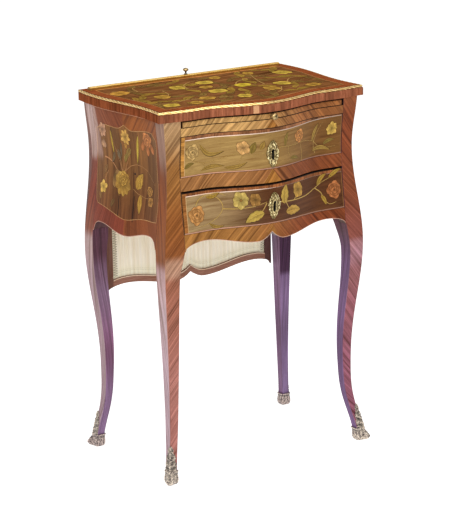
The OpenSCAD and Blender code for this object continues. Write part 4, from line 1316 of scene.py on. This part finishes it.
    def flower(self, u, v, r, colour, petals=6, spin=0.0, heart=None, h=0.2, full=0.92):
        for k in range(petals):
            angle = spin + 360 * k / petals
            self.petal(u, v, angle, r * (0.9 + 0.2 * ((k * 7) % 3) / 2),
                       r * 2.0 * math.sin(math.pi / petals) * full,
                       shade(colour, 0.86 + 0.24 * ((k * 5) % 3) / 2), h + 0.012 * k)
        self.disc(u, v, r * 0.17, heart or shade(colour, 0.55), h + 0.14)

    def rose(self, u, v, r, colour, spin=0.0, h=0.2):
        """Full flower: three rows of petals, each smaller, with dark saw lines between them."""
        rings = ((7, 1.0, 1.0, 0), (5, 0.66, 0.84, 0.11), (3, 0.36, 1.1, 0.2))
        for ring, (count, size, k, dh) in enumerate(rings):
            for i in range(count):
                angle = spin + 360 * (i + 0.5 * ring) / count
                tone = shade(colour, k * (0.84 + 0.28 * ((i * 5 + ring) % 3) / 2))
                self.petal(u, v, angle, r * size * (0.92 + 0.14 * (i % 2)),
                           r * size * 2.0 * math.sin(math.pi / count), tone, h + dh + 0.008 * i, 0.12, 0.4)
        self.disc(u, v, r * 0.1, shade(colour, 0.4), h + 0.27)

    def tulip(self, u, v, angle, length, colour):
        """Bud of three petals."""
        for da, k, dh in ((24, 0.85, 0), (-24, 0.95, 0.01), (0, 1.1, 0.03)):
            self.petal(u, v, angle + da, length, length * 0.5, shade(colour, k), 0.2 + dh, 0.0, 0.55)

    def stem(self, path, width=1.1, colour=STEM, h=0.15):
        self.ribbon(path, width + 0.5, h - 0.02, self.dark, smooth=6, taper=True)
        self.ribbon(path, width, h, colour, smooth=6, taper=True)


# Side panels

# the marquetry field of a side panel: its four edges as (depth, height), from the photograph
FIELD_TOP = [(94, 636.5), (86, 639), (75, 644), (61, 647.1), (45, 646.4), (29.4, 645.6), (20, 646.5),
             (11, 650.5), (4.5, 654.7), (-2, 651.5), (-9, 647.8), (-16.6, 646.1), (-30, 647.6),
             (-46, 650.4), (-62.4, 652.2), (-74, 652.3), (-81.2, 651.1)]
FIELD_LOW = [(92.2, 493.8), (80, 492.5), (64.5, 490.4), (40, 484.6), (20, 479), (4.8, 476.6), (-8, 477.8),
             (-25, 481.8), (-42, 485.4), (-59.8, 487.2), (-78, 487.2), (-94.9, 488.8)]
FIELD_FRONT = [(-94.9, 488.8), (-96, 510), (-95.4, 537.5), (-91.5, 567.4), (-88.8, 598.4), (-92, 625),
               (-92, 640), (-81.2, 651.1)]
FIELD_REAR = [(92.2, 493.8), (97, 500), (100, 520), (101, 544), (100, 587.4), (97, 615), (94, 636.5)]


def along(path, t):
    """Point at share t of a polyline's length."""
    lengths = run_lengths(path)
    want = t * lengths[-1]
    for k in range(len(path) - 1):
        if lengths[k + 1] >= want:
            f = (want - lengths[k]) / (lengths[k + 1] - lengths[k] or 1)
            return mix(path[k][0], path[k + 1][0], f), mix(path[k][1], path[k + 1][1], f)
    return path[-1]


SIDE_INNER = 191.0


def coons(s, t):
    """Point of the side field between its four edges: s from the rear one to the front one, t up."""
    lo, hi, le, ri = along(FIELD_LOW, s), along(FIELD_TOP, s), along(FIELD_REAR, t), along(FIELD_FRONT, t)
    c00, c10, c01, c11 = FIELD_LOW[0], FIELD_LOW[-1], FIELD_TOP[0], FIELD_TOP[-1]
    out = []
    for k in (0, 1):
        ruled = (1 - t) * lo[k] + t * hi[k] + (1 - s) * le[k] + s * ri[k]
        corners = (1 - s) * (1 - t) * c00[k] + s * (1 - t) * c10[k] + (1 - s) * t * c01[k] + s * t * c11[k]
        out.append(ruled - corners)
    return out


def side_panel(name, sx):
    """Serpentine, waisted side: shaped border of tulipwood, light line and a ground of sycamore."""
    b = Build()
    flip = sx > 0

    def at(s, t):
        y = mix(POST_YB, -POST_YF, s)
        z = mix(side_edge(y), TOP_LOW, t)
        return sx * side_out(y, z), y, z

    def fan(s, t):
        x, y, z = at(s, t)
        if z < 560:
            return turned(y, z, math.degrees(math.atan2(z - 640, y - 5)))
        if z > 640:
            return turned(y, z, 58 if y > 4 else -52)
        return turned(y, z, 90)

    def border_tint(s, t):
        x, y, z = at(s, t)
        if z > 625:
            return blend3(lin(137, 76, 32), lin(126, 66, 36), ease((y - 2) / 6))
        if z < 530:
            k = int((math.degrees(math.atan2(z - 640, y - 5)) + 180) / 11)
            return shade(lin(131, 70, 35) if y < 5 else lin(124, 57, 38), (1.15, 0.88, 1.04, 0.8)[k % 4])
        return lin(129, 68, 31) if y < 0 else lin(125, 57, 31)

    def sheen(colour, y, z, k=1.0):
        """Painted reflection: the polish's pale shine down the rear edge."""
        edge_y = 96 - (700 - z) * 0.17
        share = ease((y - edge_y) / 5) * ease((z - 572) / 20) * k
        return blend3(colour, lin(170, 136, 124), share)

    def border(s, t):
        x, y, z = at(s, t)
        return sheen(border_tint(s, t), y, z)

    b.grid(at, 90, 60, fan, 0, border, flip)
    # ground of upright boards, each of its own shade
    boards = [1.0, 0.8, 1.12, 0.88, 1.12, 0.76, 1.1, 1.0]

    def ground_tint(s, t):
        y, z = coons(s, t)
        ground = blend3(lin(110, 66, 34), lin(118, 76, 36), ease((z - 480) / 80))
        return sheen(shade(ground, boards[int((y + 110) / 26) % 8]), y, z, 0.75)

    b.grid(lambda s, t: (sx * (side_out(*coons(s, t)) + 0.1), *coons(s, t)), 48, 40,
           lambda s, t: turned(*coons(s, t), 90), 1, ground_tint, flip)
    # light line round the ground
    ring = [along(FIELD_LOW, i / 60) for i in range(60)] + [along(FIELD_FRONT, i / 30) for i in range(30)]
    ring += [along(FIELD_TOP, 1 - i / 60) for i in range(60)]
    ring += [along(FIELD_REAR, 1 - i / 30) for i in range(31)]
    m = Marquetry(lambda u, v, h: (sx * (side_out(u, v) + h), u, v), b, flip=flip)
    m.ribbon(ring, 0.9, 0.16, lin(190, 142, 90), slot=2, closed=True)
    m.ribbon([(y, TOP_LOW - 3.4) for y in range(-96, 103, 3)], 0.8, 0.1, lin(206, 150, 116), slot=2)
    # two hair cracks in the ground, and the joints of the border's veneers
    m.ribbon([(15, 479.5), (17.5, 500), (20.8, 525)], 0.6, 0.2, lin(30, 18, 12), slot=2)
    m.ribbon([(-22.2, 483.5), (-19.5, 512), (-17, 540), (-14.3, 568.7)], 0.7, 0.2, lin(28, 18, 12), slot=2)
    # painted highlight along the lower edge
    edge = [(y, side_edge(y) + 0.5) for y in (mix(POST_YB - 0.5, -POST_YF + 0.5, i / 80) for i in range(81))]
    m.ribbon(edge, 1.0, 0.12, lin(206, 160, 140), slot=2)
    m.ribbon([(4, 476), (1, 462), (-1, 452)], 0.5, 0.14, lin(90, 46, 32), slot=2)
    for foot in ((60, 452), (-42, 456), (30, 458), (-20, 459)):
        m.ribbon([(mix(4, foot[0], 0.3), mix(476, foot[1], 0.3)), foot], 0.35, 0.12, lin(104, 56, 36), slot=2)
    # inner face, lower edge and ends
    b.grid(lambda s, t: (sx * SIDE_INNER, *at(s, t)[1:]), 48, 1, grain(200, 200), 4,
           lin(96, 66, 60), not flip)
    b.grid(lambda s, t: (mix(at(s, 0)[0], sx * SIDE_INNER, t), *at(s, 0)[1:]), 48, 1,
           grain(200, 20), 4, lin(70, 42, 44), not flip)
    for end, turn_over in ((0.0, not flip), (1.0, flip)):
        b.grid(lambda s, t: (mix(at(end, t)[0], sx * SIDE_INNER, s), *at(end, t)[1:]), 1, 20,
               grain(20, 200), 4, lin(70, 42, 44), turn_over)
    m.wash = (0.9, 0.87, 0.98)
    side_flowers(m)
    woods = [SIDE_WOOD, GROUND_SIDE, INLAY, OAK_X, INNER_WOOD]
    return b.make(name + "_veneered", woods, "carcass", [name], "side_marquetry")


def side_flowers(m):
    """Bouquet on a side panel, in (depth, height)."""
    for path in ([(15, 560), (24, 588), (36, 606), (46, 630)], [(15, 560), (24, 580), (30, 592)],
                 [(14, 560), (12, 590), (6, 622)], [(12, 562), (0, 590), (-8, 604)],
                 [(8.6, 567), (-4, 577), (-14.4, 581.5), (-26, 584), (-37.7, 583.2), (-50, 580),
                  (-58.6, 576.1), (-69.8, 565.5), (-81.9, 555.1)],
                 [(-15.8, 537.2), (-28, 531), (-40, 528.7), (-52, 526.5), (-61.5, 527.3), (-70, 530)],
                 [(16, 560), (10, 568), (4, 574)], [(60, 560), (70, 545), (76, 532)]):
        m.stem(path, 1.5, lin(178, 128, 72))
    m.stem([(72.2, 584.5), (62, 584), (49.4, 579.8), (38, 571), (28.4, 561.8)], 3.0, lin(196, 138, 84))
    m.flower(4, 632, 14.5, lin(200, 156, 72), 8, 14, full=0.66)
    m.leaf(5, 622, -98, 13, 7, lin(186, 136, 56), 0.1)
    m.flower(74, 636, 14, lin(186, 140, 100), 7, 30, full=0.74)
    m.tulip(72, 618, -80, 17, lin(176, 134, 92))
    m.rose(-62, 636, 15, lin(186, 120, 62), 0)
    for du, dv, angle in ((-10, 0, -110), (0, -4, -90), (10, 2, -70)):
        m.petal(-62 + du, 634 + dv, angle, 24, 10, lin(172, 106, 52), 0.3)
    m.leaf(-34, 641, -83, 56, 5.5, lin(206, 178, 60), 0.05)
    m.leaf(47, 640, -98, 50, 4.5, lin(190, 158, 52), 0.05)
    m.leaf(-9, 612, -60, 22, 12, lin(142, 112, 50), 0.2)
    m.leaf(2, 600, -70, 18, 9, OLIVE_LEAF, 0.2)
    m.leaf(28, 606, -110, 22, 8, lin(120, 100, 66), 0.2)
    m.leaf(40, 600, -70, 24, 7, lin(118, 96, 60), -0.2)
    m.leaf(18, 620, -90, 30, 6, lin(112, 92, 60), 0.1)
    m.leaf(62, 570, -60, 22, 9, lin(140, 100, 50), 0.2)
    # large lobed flower in the middle
    for angle, length, width, tone in ((205, 26, 17, (176, 136, 56)), (165, 22, 17, (170, 126, 52)),
                                       (235, 27, 15, (190, 146, 60)), (262, 28, 13, (200, 156, 64)),
                                       (290, 27, 14, (196, 150, 60)), (330, 24, 16, (184, 140, 56)),
                                       (20, 22, 17, (196, 154, 62)), (60, 21, 16, (206, 166, 74)),
                                       (100, 22, 17, (204, 160, 66)), (135, 22, 16, (188, 142, 56))):
        m.petal(16, 546, angle, length, width, lin(*(0.88 * c for c in tone)), 0.22, 0.0, 0.4)
    m.rose(14, 550, 12, lin(178, 138, 56), 12, 0.34)
    for angle, length, width in ((190, 20, 12), (215, 24, 10), (240, 26, 9), (262, 25, 9), (150, 18, 12)):
        m.petal(42, 556, angle, length, width, lin(146, 110, 58), 0.18, 0.1, 0.5)
    m.flower(75.7, 527, 13.5, lin(214, 174, 78), 5, 15, full=0.62)
    m.leaf(84, 520, -100, 18, 8, lin(150, 110, 54), 0.2)
    # heart leaf, two small flowers and the long leaf below
    m.leaf(-26, 538, 118, 36, 19, lin(190, 146, 56), -0.12, 5)
    m.leaf(-34, 540, 84, 26, 13, lin(200, 158, 62), 0.1, 4)
    m.rose(-66, 541, 9.5, lin(170, 122, 56), 0)
    m.flower(-70, 522, 9, lin(166, 118, 54), 6, 0)
    m.leaf(-38, 530, -88, 36, 12, lin(194, 150, 60), 0.05, 3)
    m.leaf(36, 510, -60, 20, 9, lin(120, 88, 44), 0.2)
    # two wide shrinkage cracks beside the hair cracks, and a knot
    crack = lin(30, 16, 10)
    m.ribbon([(24, 518), (24.3, 506), (23.8, 494), (24, 480)], 1.9, 0.16, crack)
    m.ribbon([(-19, 524), (-19.2, 508), (-18.8, 494), (-19, 476)], 2.1, 0.16, crack)
    m.disc(-19, 566, 2.2, crack, 0.16)


side_panel("side_panel_left", -1)
side_panel("side_panel_right", 1)


def front_marquetry(name, body, draw):
    b = Build()
    draw(Marquetry(lambda u, v, h: (u, -(front_out(u, v) + h), v), b, 0, wash=(0.94, 0.93, 1.05)))
    b.make(name, [INLAY], body, slot="drawer_marquetry")


def upper_flowers(m):
    """Sprays on the upper drawer, in (x, height)."""
    for path in ([(-154, 604), (-130, 596), (-100, 600), (-80, 606), (-57, 608), (-30, 604), (-14, 606)],
                 [(14, 612), (50, 610), (84, 611), (112, 606)], [(76, 575), (78, 590), (72, 612)],
                 [(-57, 606), (-62, 596), (-66, 588)], [(112, 606), (122, 596), (138, 590), (164, 590)],
                 [(116, 582), (112, 600), (120, 620), (134, 640)], [(-130, 596), (-124, 588), (-116, 584)],
                 [(40, 611), (38, 600), (44, 590)]):
        m.stem(path, 1.6, lin(184, 148, 76))
    m.rose(-153, 619, 15, PALE, 10)
    m.leaf(-138, 632, -20, 50, 8, GREEN_LEAF, -0.5)
    m.leaf(-134, 582, 6, 44, 7, GREEN_LEAF, 0.15)
    m.leaf(-170, 590, 20, 22, 7, OLIVE_LEAF, 0.2)
    m.flower(-57, 618, 13, lin(206, 160, 92), 6, 20)
    m.leaf(-42, 606, 70, 22, 12, OLIVE_LEAF, 0.1)
    m.leaf(-26, 612, 60, 18, 10, GREEN_LEAF, -0.1)
    m.leaf(-90, 584, 10, 40, 7, GREEN_LEAF, -0.2)
    m.leaf(30, 612, 72, 26, 8, OLIVE_LEAF, 0.15)
    m.rose(70, 624, 13, ORANGE, 5)
    m.leaf(108, 604, 66, 38, 7, GREEN_LEAF, 0.12)
    m.flower(155, 624, 13, YELLOW, 8, 0)
    m.leaf(108, 588, -6, 44, 8, GREEN_LEAF, 0.25)
    m.leaf(136, 596, 16, 26, 7, OLIVE_LEAF, 0.2)
    m.leaf(44, 586, -10, 24, 6, OLIVE_LEAF, 0.2)


def lower_flowers(m):
    """Sprays on the lower drawer, in (x, height)."""
    for path in ([(-150, 520), (-140, 532), (-122, 536), (-104, 528), (-96, 512), (-104, 496), (-124, 484),
                  (-146, 480)],
                 [(-96, 508), (-70, 506), (-40, 508), (-16, 514)], [(-16, 512), (-24, 498), (-34, 488)],
                 [(14, 510), (50, 507), (84, 508), (110, 516), (128, 524), (150, 532), (170, 541)],
                 [(50, 507), (56, 514), (60, 520)],
                 [(112, 516), (126, 506), (132, 494), (144, 482), (160, 484)],
                 [(-120, 536), (-104, 538), (-90, 532)], [(28, 508), (34, 498), (44, 488)]):
        m.stem(path, 2.0, lin(200, 164, 84))
    m.rose(-149, 502, 18, lin(192, 138, 74), 0)
    m.flower(-64, 521, 16, lin(190, 164, 84), 7, 12, lin(150, 110, 50))
    m.flower(-38, 520, 12, lin(150, 110, 52), 6, 0)
    m.leaf(-20, 493, 203, 38, 19, lin(192, 162, 70), -0.15, 4)
    m.leaf(24, 505, 80, 36, 18, lin(192, 158, 70), 0.1, 4)
    m.flower(62, 524, 15, lin(182, 140, 60), 6, 8)
    m.leaf(30, 488, -4, 38, 18, lin(190, 150, 64), 0.1, 4)
    m.rose(157, 507, 17, lin(168, 104, 56), 20)
    m.leaf(118, 520, 40, 30, 9, GOLD_LEAF, 0.2)
    m.leaf(146, 531, 26, 32, 8, GOLD_LEAF, 0.1)
    m.leaf(126, 500, -60, 22, 8, GOLD_LEAF, 0.2)
    m.leaf(-128, 533, 12, 28, 6, GOLD_LEAF, -0.3)
    m.leaf(-124, 484, -14, 30, 6, GREEN_LEAF, -0.3)


front_marquetry("upper_drawer_flowers", "upper_drawer", upper_flowers)
front_marquetry("lower_drawer_flowers", "lower_drawer", lower_flowers)


def top_flowers(m):
    """Scattered flowers and leaves on the table's surface."""
    leaf_tones = [lin(156, 126, 42), lin(140, 112, 44), lin(172, 138, 46), lin(128, 98, 40)]
    spots = [(-196, -10), (-100, 84), (-40, 100), (90, 40), (140, 20), (180, -30), (20, -60), (-50, -104),
             (100, -104), (-60, -20), (-130, 30), (60, 70), (-168, 22), (8, -120), (150, 100), (-150, 100),
             (128, -64), (-96, -20), (0, -40), (84, 4), (-30, 70), (-186, -60), (186, 96), (20, 30),
             (-110, -110), (40, -96), (-170, -40), (-20, -4), (66, 30), (120, 60), (-70, 20), (150, -50),
             (-120, -60), (4, 100), (90, 100), (-80, 104), (170, 20), (-40, -60), (56, -30), (-160, 60),
             (-50, 60), (20, 6)]
    for path in ([(-198, -60), (-150, -70), (-110, -60), (-60, -74), (-10, -90), (40, -84), (90, -60),
                  (140, -80), (180, -70)],
                 [(-190, 90), (-150, 60), (-110, 40), (-60, 30), (-20, 10), (30, 0), (80, -20), (120, -36),
                  (170, -20)],
                 [(-110, 40), (-120, 0), (-150, -30)], [(-60, 30), (-50, 60), (-20, 84), (20, 92)],
                 [(30, 0), (50, 30), (90, 50), (140, 60), (185, 70)], [(80, -20), (90, 20), (120, 100)],
                 [(-110, -60), (-90, -90), (-60, -100)], [(90, -60), (70, -90), (40, -110)],
                 [(120, -36), (150, 0), (186, 10)], [(-150, 60), (-140, 96), (-100, 104)]):
        m.stem(path, 2.6, lin(200, 160, 74), 1.16)
    for k, (x, y) in enumerate(spots):
        angle = rng.uniform(0, 360)
        m.leaf(x, y, angle, 38, 15, leaf_tones[k % 4], 0.3, 4 if k % 2 else 0)
        m.leaf(x, y, angle + 150, 32, 12, leaf_tones[(k + 2) % 4], -0.25)
    lemon, gold, orange = lin(206, 178, 58), lin(188, 148, 50), lin(206, 156, 54)
    for x, y, r, colour, petals in ((-186, 66, 21, orange, 6), (-140, -12, 18, gold, 5),
                                    (-72, 48, 18, lemon, 6), (-3, 62, 19, lemon, 5), (-24, 22, 15, gold, 5),
                                    (-168, -88, 17, lemon, 6), (-118, -94, 15, gold, 5),
                                    (-80, -70, 17, gold, 6), (-27, -24, 20, lemon, 6),
                                    (43, -2, 18, lin(216, 192, 50), 5), (-12, -92, 17, lemon, 6),
                                    (68, -62, 19, gold, 6), (113, -32, 19, lemon, 5),
                                    (174, 60, 20, lemon, 6), (150, -80, 17, gold, 6), (40, 92, 14, gold, 5),
                                    (116, 92, 14, gold, 6)):
        m.flower(x, y, r * 0.95, colour, petals, rng.uniform(0, 360), shade(colour, 0.8), 1.26)


b = Build()
FIELD_X = front_at(1, INNER)[0]


def on_field(u, v, h):
    """Point on the table's surface, kept inside the light line round the field."""
    v = min(v, FIELD_BACK - 0.8)
    wide = side_x(v, INNER) - 0.8
    u = max(-wide, min(wide, u))
    v = max(v, front_at(max(-1.0, min(1.0, u / FIELD_X)), INNER)[1] + 0.8)
    return u, v, TOP - 0.03 + h * 0.35


top_flowers(Marquetry(on_field, b, 0, dark=lin(74, 46, 24), wash=(0.98, 0.92, 1.5), step=0.0107))
b.make("top_flowers", [TOP_INLAY], "carcass", slot="top_marquetry")

# Keyhole plates

# size, place and spread of the scrolls at a plate's edge
SCROLLS = ((0.12, 0.12, 0.2), (0.06, 0.52, 0.08), (0.06, -0.3, 0.09), (0.08, -0.66, 0.1), (0.06, -1, 0.1))


def plate_half(t):
    """Half width of a keyhole plate, with its scrolls; t from -1 below to 1 above."""
    share = 0.86 * max(0.0, 1 - t * t) ** 0.6
    for size, at, spread in SCROLLS:
        share += size * bump_at(t, at, spread)
    return 15 * share


def keyhole_plate(name, mid, body):
    """Cast plate of scrolls and shells round a keyhole."""
    b = Build()

    def at(s, t):
        k, v = 2 * s - 1, (2 * t - 1) * 0.985
        narrow = 1 - 0.2 * ease((-v - 0.25) / 0.25) * ease((1.02 + v) / 0.2)
        x, z = k * plate_half(v) * narrow * (1 - 0.05 * (1 + math.cos(40 * v))), mid + v * 25.5
        a = math.atan2(x, z - mid)
        far = math.hypot(x, (z - mid) / 1.7)
        rim = 0.9 * bump_at(abs(k), 0.86, 0.11) * (0.35 + 0.65 * abs(math.cos(9 * a)))
        scroll = 0.8 * bump_at(far, 9.6 + 0.9 * math.cos(6 * a), 1.5) * (0.5 + 0.5 * math.cos(11 * a + far))
        leafy = 0.7 * bump_at(abs(v), 0.72, 0.2) * (0.5 + 0.5 * math.cos(2.6 * x)) * bump_at(k, 0, 0.6)
        collar = 0.7 * bump_at(math.hypot(x, (z - mid + 1) / 2.6), 4.6, 0.7)
        h = min(1.0, rim + scroll + leafy + collar)
        lift = (0.9 + 2.0 * h) * (1 if abs(k) < 0.99 else 0.1)
        return x, -(front_out(x, z) + lift), z, h

    def tone(s, t):
        x, y, z, h = at(s, t)
        # painted highlight on the raised relief and painted shade in its hollows, partly the dirt of old
        # gilding; the keyhole's surround is painted black as shadow
        g = 0.2 + 1.1 * h**1.3
        if (abs(x) < 2.2 and mid - 10.6 < z < mid + 4) or x * x + (z - mid - 6) ** 2 < 9.6:
            g = 0.02
        return (g * 1.05, g * (0.84 + 0.14 * h), g * (0.38 + 0.46 * h))

    def is_open(s, t):
        x, y, z, h = at(s, t)
        return x * x + (z - mid - 6) ** 2 < 6.2 or (abs(x) < 1.6 and mid - 10 < z < mid + 6)

    b.grid(lambda s, t: at(s, t)[:3], 72, 120, grain(30, 50), 0, tone, False, is_open)
    b.make(name + "_cast", [BRONZE], body, [name], "gilt_bronze")


keyhole_plate("upper_escutcheon", MID_UP, "upper_drawer")
keyhole_plate("lower_escutcheon", MID_LO, "lower_drawer")

# Knobs


def knob(name, base, axis, profile, body, replaced):
    """Turned brass knob: profile gives radius and height along the axis."""
    b = Build()
    profile = smooth_path(profile, 5)
    stand = Vector(axis).to_track_quat("Z", "Y").to_matrix()

    def at(s, t):
        r, h = profile[min(len(profile) - 1, round(t * (len(profile) - 1)))]
        p = stand @ Vector((r * math.cos(2 * math.pi * s), r * math.sin(2 * math.pi * s), h))
        return base[0] + p.x, base[1] + p.y, base[2] + p.z

    top_r = max(r for r, h in profile)

    def tone(s, t):
        r, h = profile[min(len(profile) - 1, round(t * (len(profile) - 1)))]
        # painted light: wide parts and the far end bright, the narrow neck in painted shade
        g = 0.3 + 0.75 * (r / top_r) ** 2 + (0.3 if h > 8 else 0)
        return (g, g * 0.97, g * 0.9)

    b.grid(at, 40, len(profile) - 1, grain(30, 20), 0, tone, False, loop=True)
    b.make(name, [KNOB], body, [replaced], "gilt_bronze")


knob("slide_knob_turned", (0, slide_y(0), 672), (0, -1, 0),
     [(4.4, 0), (4.4, 1.1), (2.8, 1.7), (2.4, 2.6), (3.6, 3.4), (5.8, 5.2), (6.5, 8.0), (6.0, 10.6),
      (4.2, 13.0), (1.8, 14.3), (0.01, 14.5)], "writing_slide", "slide_knob")
knob("screen_knob_turned", (0, 132.3, 705.5), (0, 0, 1),
     [(3.8, 0), (3.8, 1.0), (2.2, 1.7), (1.7, 3.2), (2.0, 5.2), (3.0, 6.4), (5.3, 7.8), (5.59, 9.2),
      (4.6, 11.0), (2.4, 12.2), (0.01, 12.5)], "fire_screen", "screen_knob")

# Silk of the screen

SILK_HALF, SILK_TOP, SCREEN_Y = 174.7, 658.0, 128.8
STITCH_Y, HEM_Y = SCREEN_Y + 0.15, SCREEN_Y - 0.05


def screen_edge(x):
    """Lower edge of the screen's bottom rail."""
    return ogee(x, 301.5, 14, 14, 190)


n = Nodes("screen_silk_cream")
weave = n.noise(n.coords("uv", (24, 3, 1)), 3.0, 0.6)
folds = n.noise(n.coords("uv", (1.1, 0.05, 1)), 3.0, 0.5)
silk_colour = n.ramp(folds, [(0.3, lin(238, 226, 198)), (0.5, lin(250, 242, 220)), (0.7, lin(255, 250, 234))])
silk_colour = n.mix(silk_colour, n.tint(), 1.0)
n.link(silk_colour, n.bsdf.inputs["Base Color"])
n.set(roughness=0.55, sheen_weight=0.35, sheen_roughness=0.4)
n.bump(weave, 0.2, 0.0002)
SILK = n.material

PLEATS, PER = 40, 12
b = Build()
mid_y = SCREEN_Y + 3.5 - 0.15
# the first draws are passed over, so that the pleats keep their depths
for _ in range(PLEATS + 2):
    rng.random()
pleat_depth = [1.55 + 0.5 * rng.random() for _ in range(PLEATS + 2)]


def silk_point(s, t):
    x = mix(-SILK_HALF, SILK_HALF, s)
    k = s * PLEATS
    i = int(min(PLEATS - 1, k))
    depth = mix(pleat_depth[i], pleat_depth[i + 1], k - i)
    wander = 0.25 * math.sin(t * 5 + i * 1.7) * math.sin(math.pi * t)
    depth *= mix(0.12, 0.72, ease(t * 4.5)) + 0.28 * ease((t - 0.3) / 0.4)
    fold = depth * math.cos(2 * math.pi * (k + 0.12 * math.sin(2 * math.pi * k) + wander * 0.1))
    z = mix(screen_edge(x) + 13.4, SILK_TOP - 0.4, t)
    return x, mid_y - fold, z


def silk_tint(s, t):
    k = s * PLEATS
    pleat_crest = 0.5 + 0.5 * math.cos(2 * math.pi * k)
    # painted highlight on the pleats' crests that stand forward
    g = 0.985 + 0.06 * pleat_crest
    tanned = bump_at(s, 0.16, 0.12) * ease((t - 0.2) / 0.6)
    foot = ease((0.09 - t) / 0.09)
    return (g * (1 - 0.03 * foot), g * (1 - 0.06 * tanned), g * (1 - 0.16 * tanned - 0.07 * foot))


b.grid(silk_point, PLEATS * PER, 60, grain(420, 340), 0, silk_tint)
silk = b.make("pleated_silk", [SILK], "fire_screen", ["screen_silk"], "screen_silk")
pleat_line = [silk_point(i / (PLEATS * PER), 0.5) for i in range(PLEATS * PER + 1)]
cloth_length = sum(math.dist(p, q) for p, q in zip(pleat_line, pleat_line[1:])) / 1000

# zigzag stitches down both edges and a narrow braid above the bottom rail
stitch = Build()
STITCH_UV = [(0, 0), (1, 0), (1, 0.2), (0, 0.2)]
for sx in (-1, 1):
    z = 330.0
    while z < 648:
        for dz, x_a, x_b in ((0.0, 174.2, 165.0), (2.4, 165.0, 174.2)):
            z_a, z_b = z + dz, z + dz + 2.4
            ends = ((x_a, z_a), (x_b, z_b), (x_b, z_b + 0.9), (x_a, z_a + 0.9))
            points = [(sx * x, STITCH_Y, v) for x, v in ends]
            order = [0, 1, 2, 3] if sx * (x_b - x_a) > 0 else [3, 2, 1, 0]
            stitch.add(points, [order], STITCH_UV, 0, (0.36, 0.36, 0.3))
        z += 4.8
stitches = stitch.make("silk_stitches", [SILK], "fire_screen", slot="screen_silk")
braid = Build()
count = 240
for i in range(count):
    x_a, x_b = mix(-174, 174, i / count), mix(-174, 174, (i + 0.62) / count)
    for lift, tone in ((23.5, 0.62), (26.5, 0.74)):
        z_a = screen_edge((x_a + x_b) / 2) + lift + 0.5 * (i % 2)
        points = [(x, STITCH_Y, z) for x, z in ((x_a, z_a), (x_b, z_a), (x_b, z_a + 0.8), (x_a, z_a + 0.8))]
        braid.add(points, [[0, 1, 2, 3]], STITCH_UV, 0, (tone, tone, tone * 0.92))
braid_piece = braid.make("silk_braid", [SILK], "fire_screen", slot="screen_silk")

# Brass strip over the slot and line on the bottom rail

# the strip's section as (y, z) from its middle and its seat, and the painted light and shade of each of its
# faces
STRIP_HALF, STRIP_Y, STRIP_Z = 214, 132.3, 699.6
SECTION = [(-5, 0.1), (-5, 3.7), (-4.7, 4.3), (-3.2, 5.8), (-2.6, 5.9), (2.6, 5.9), (3.2, 5.8), (4.7, 4.3),
           (5, 3.7), (5, 0.1)]
FACE_LIGHT = [lin(176, 132, 66), lin(190, 146, 78), lin(236, 204, 130), lin(250, 220, 146), lin(246, 214, 136),
          lin(226, 190, 116), lin(120, 88, 46), lin(70, 50, 30), lin(60, 44, 28)]
bar = Build()
for (ya, za), (yb, zb), tone in zip(SECTION, SECTION[1:], FACE_LIGHT):
    bar.grid(lambda s, t: (mix(-STRIP_HALF, STRIP_HALF, s), STRIP_Y + mix(ya, yb, t),
                           STRIP_Z + mix(za, zb, t)), 40, 1, grain(430, 10), 0, tone)
for side in (-1, 1):
    ends = [(side * STRIP_HALF, STRIP_Y + y, STRIP_Z + z) for y, z in SECTION]
    bar.polygon(ends if side < 0 else ends[::-1], [(0, 0)] * len(ends), 0, lin(170, 130, 70))
bar.grid(lambda s, t: (mix(-STRIP_HALF, STRIP_HALF, s), STRIP_Y + mix(5, -5, t), STRIP_Z + 0.1), 40, 1,
         grain(430, 10), 0, lin(120, 90, 50))
bar.make("screen_strip_bar", [STRIP], "fire_screen", ["screen_strip"], "gilt_bronze")

# pale line under the silk
hem = Build()


def hem_point(s, t):
    x = mix(0.2 - SILK_HALF, SILK_HALF - 0.2, s)
    return x, HEM_Y, screen_edge(x) + 11.4 + 1.5 * t


hem.grid(hem_point, 160, 1, grain(350, 1), 0, lin(236, 214, 186))
hem.make("screen_rail_line", [LINE_WOOD], "fire_screen", slot="screen_silk")

# Finishes of the solids that stay

FINISH = {"screen_stile_left": SCREEN_WOOD, "screen_stile_right": SCREEN_DARK,
          "screen_top_rail": SCREEN_RAIL, "screen_bottom_rail": SCREEN_RAIL, "outer_back_panel": BACK_WOOD,
          "inner_back_panel": OAK_X, "screen_guides": OAK_X, "slide_bed": OAK_X, "dust_board": OAK_X,
          "bottom_board": OAK_X, "bottom_rail": OAK_X, "slide_runners": OAK_Y, "upper_drawer_guides": OAK_Y,
          "lower_drawer_guides": OAK_Y, "drawer_stops": OAK_X, "corner_blocks": OAK_Y,
          "slide_board": SLIDE_BOARD_WOOD, "slide_leather": LEATHER, "upper_lock": STEEL,
          "lower_lock": STEEL}
for storey in ("upper", "lower"):
    for part, material in (("side_left", OAK_Y), ("side_right", OAK_Y), ("back", OAK_X), ("bottom", OAK_X)):
        FINISH[f"{storey}_drawer_{part}"] = material
for name, material in FINISH.items():
    for material_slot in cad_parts[name].material_slots:
        material_slot.material = material
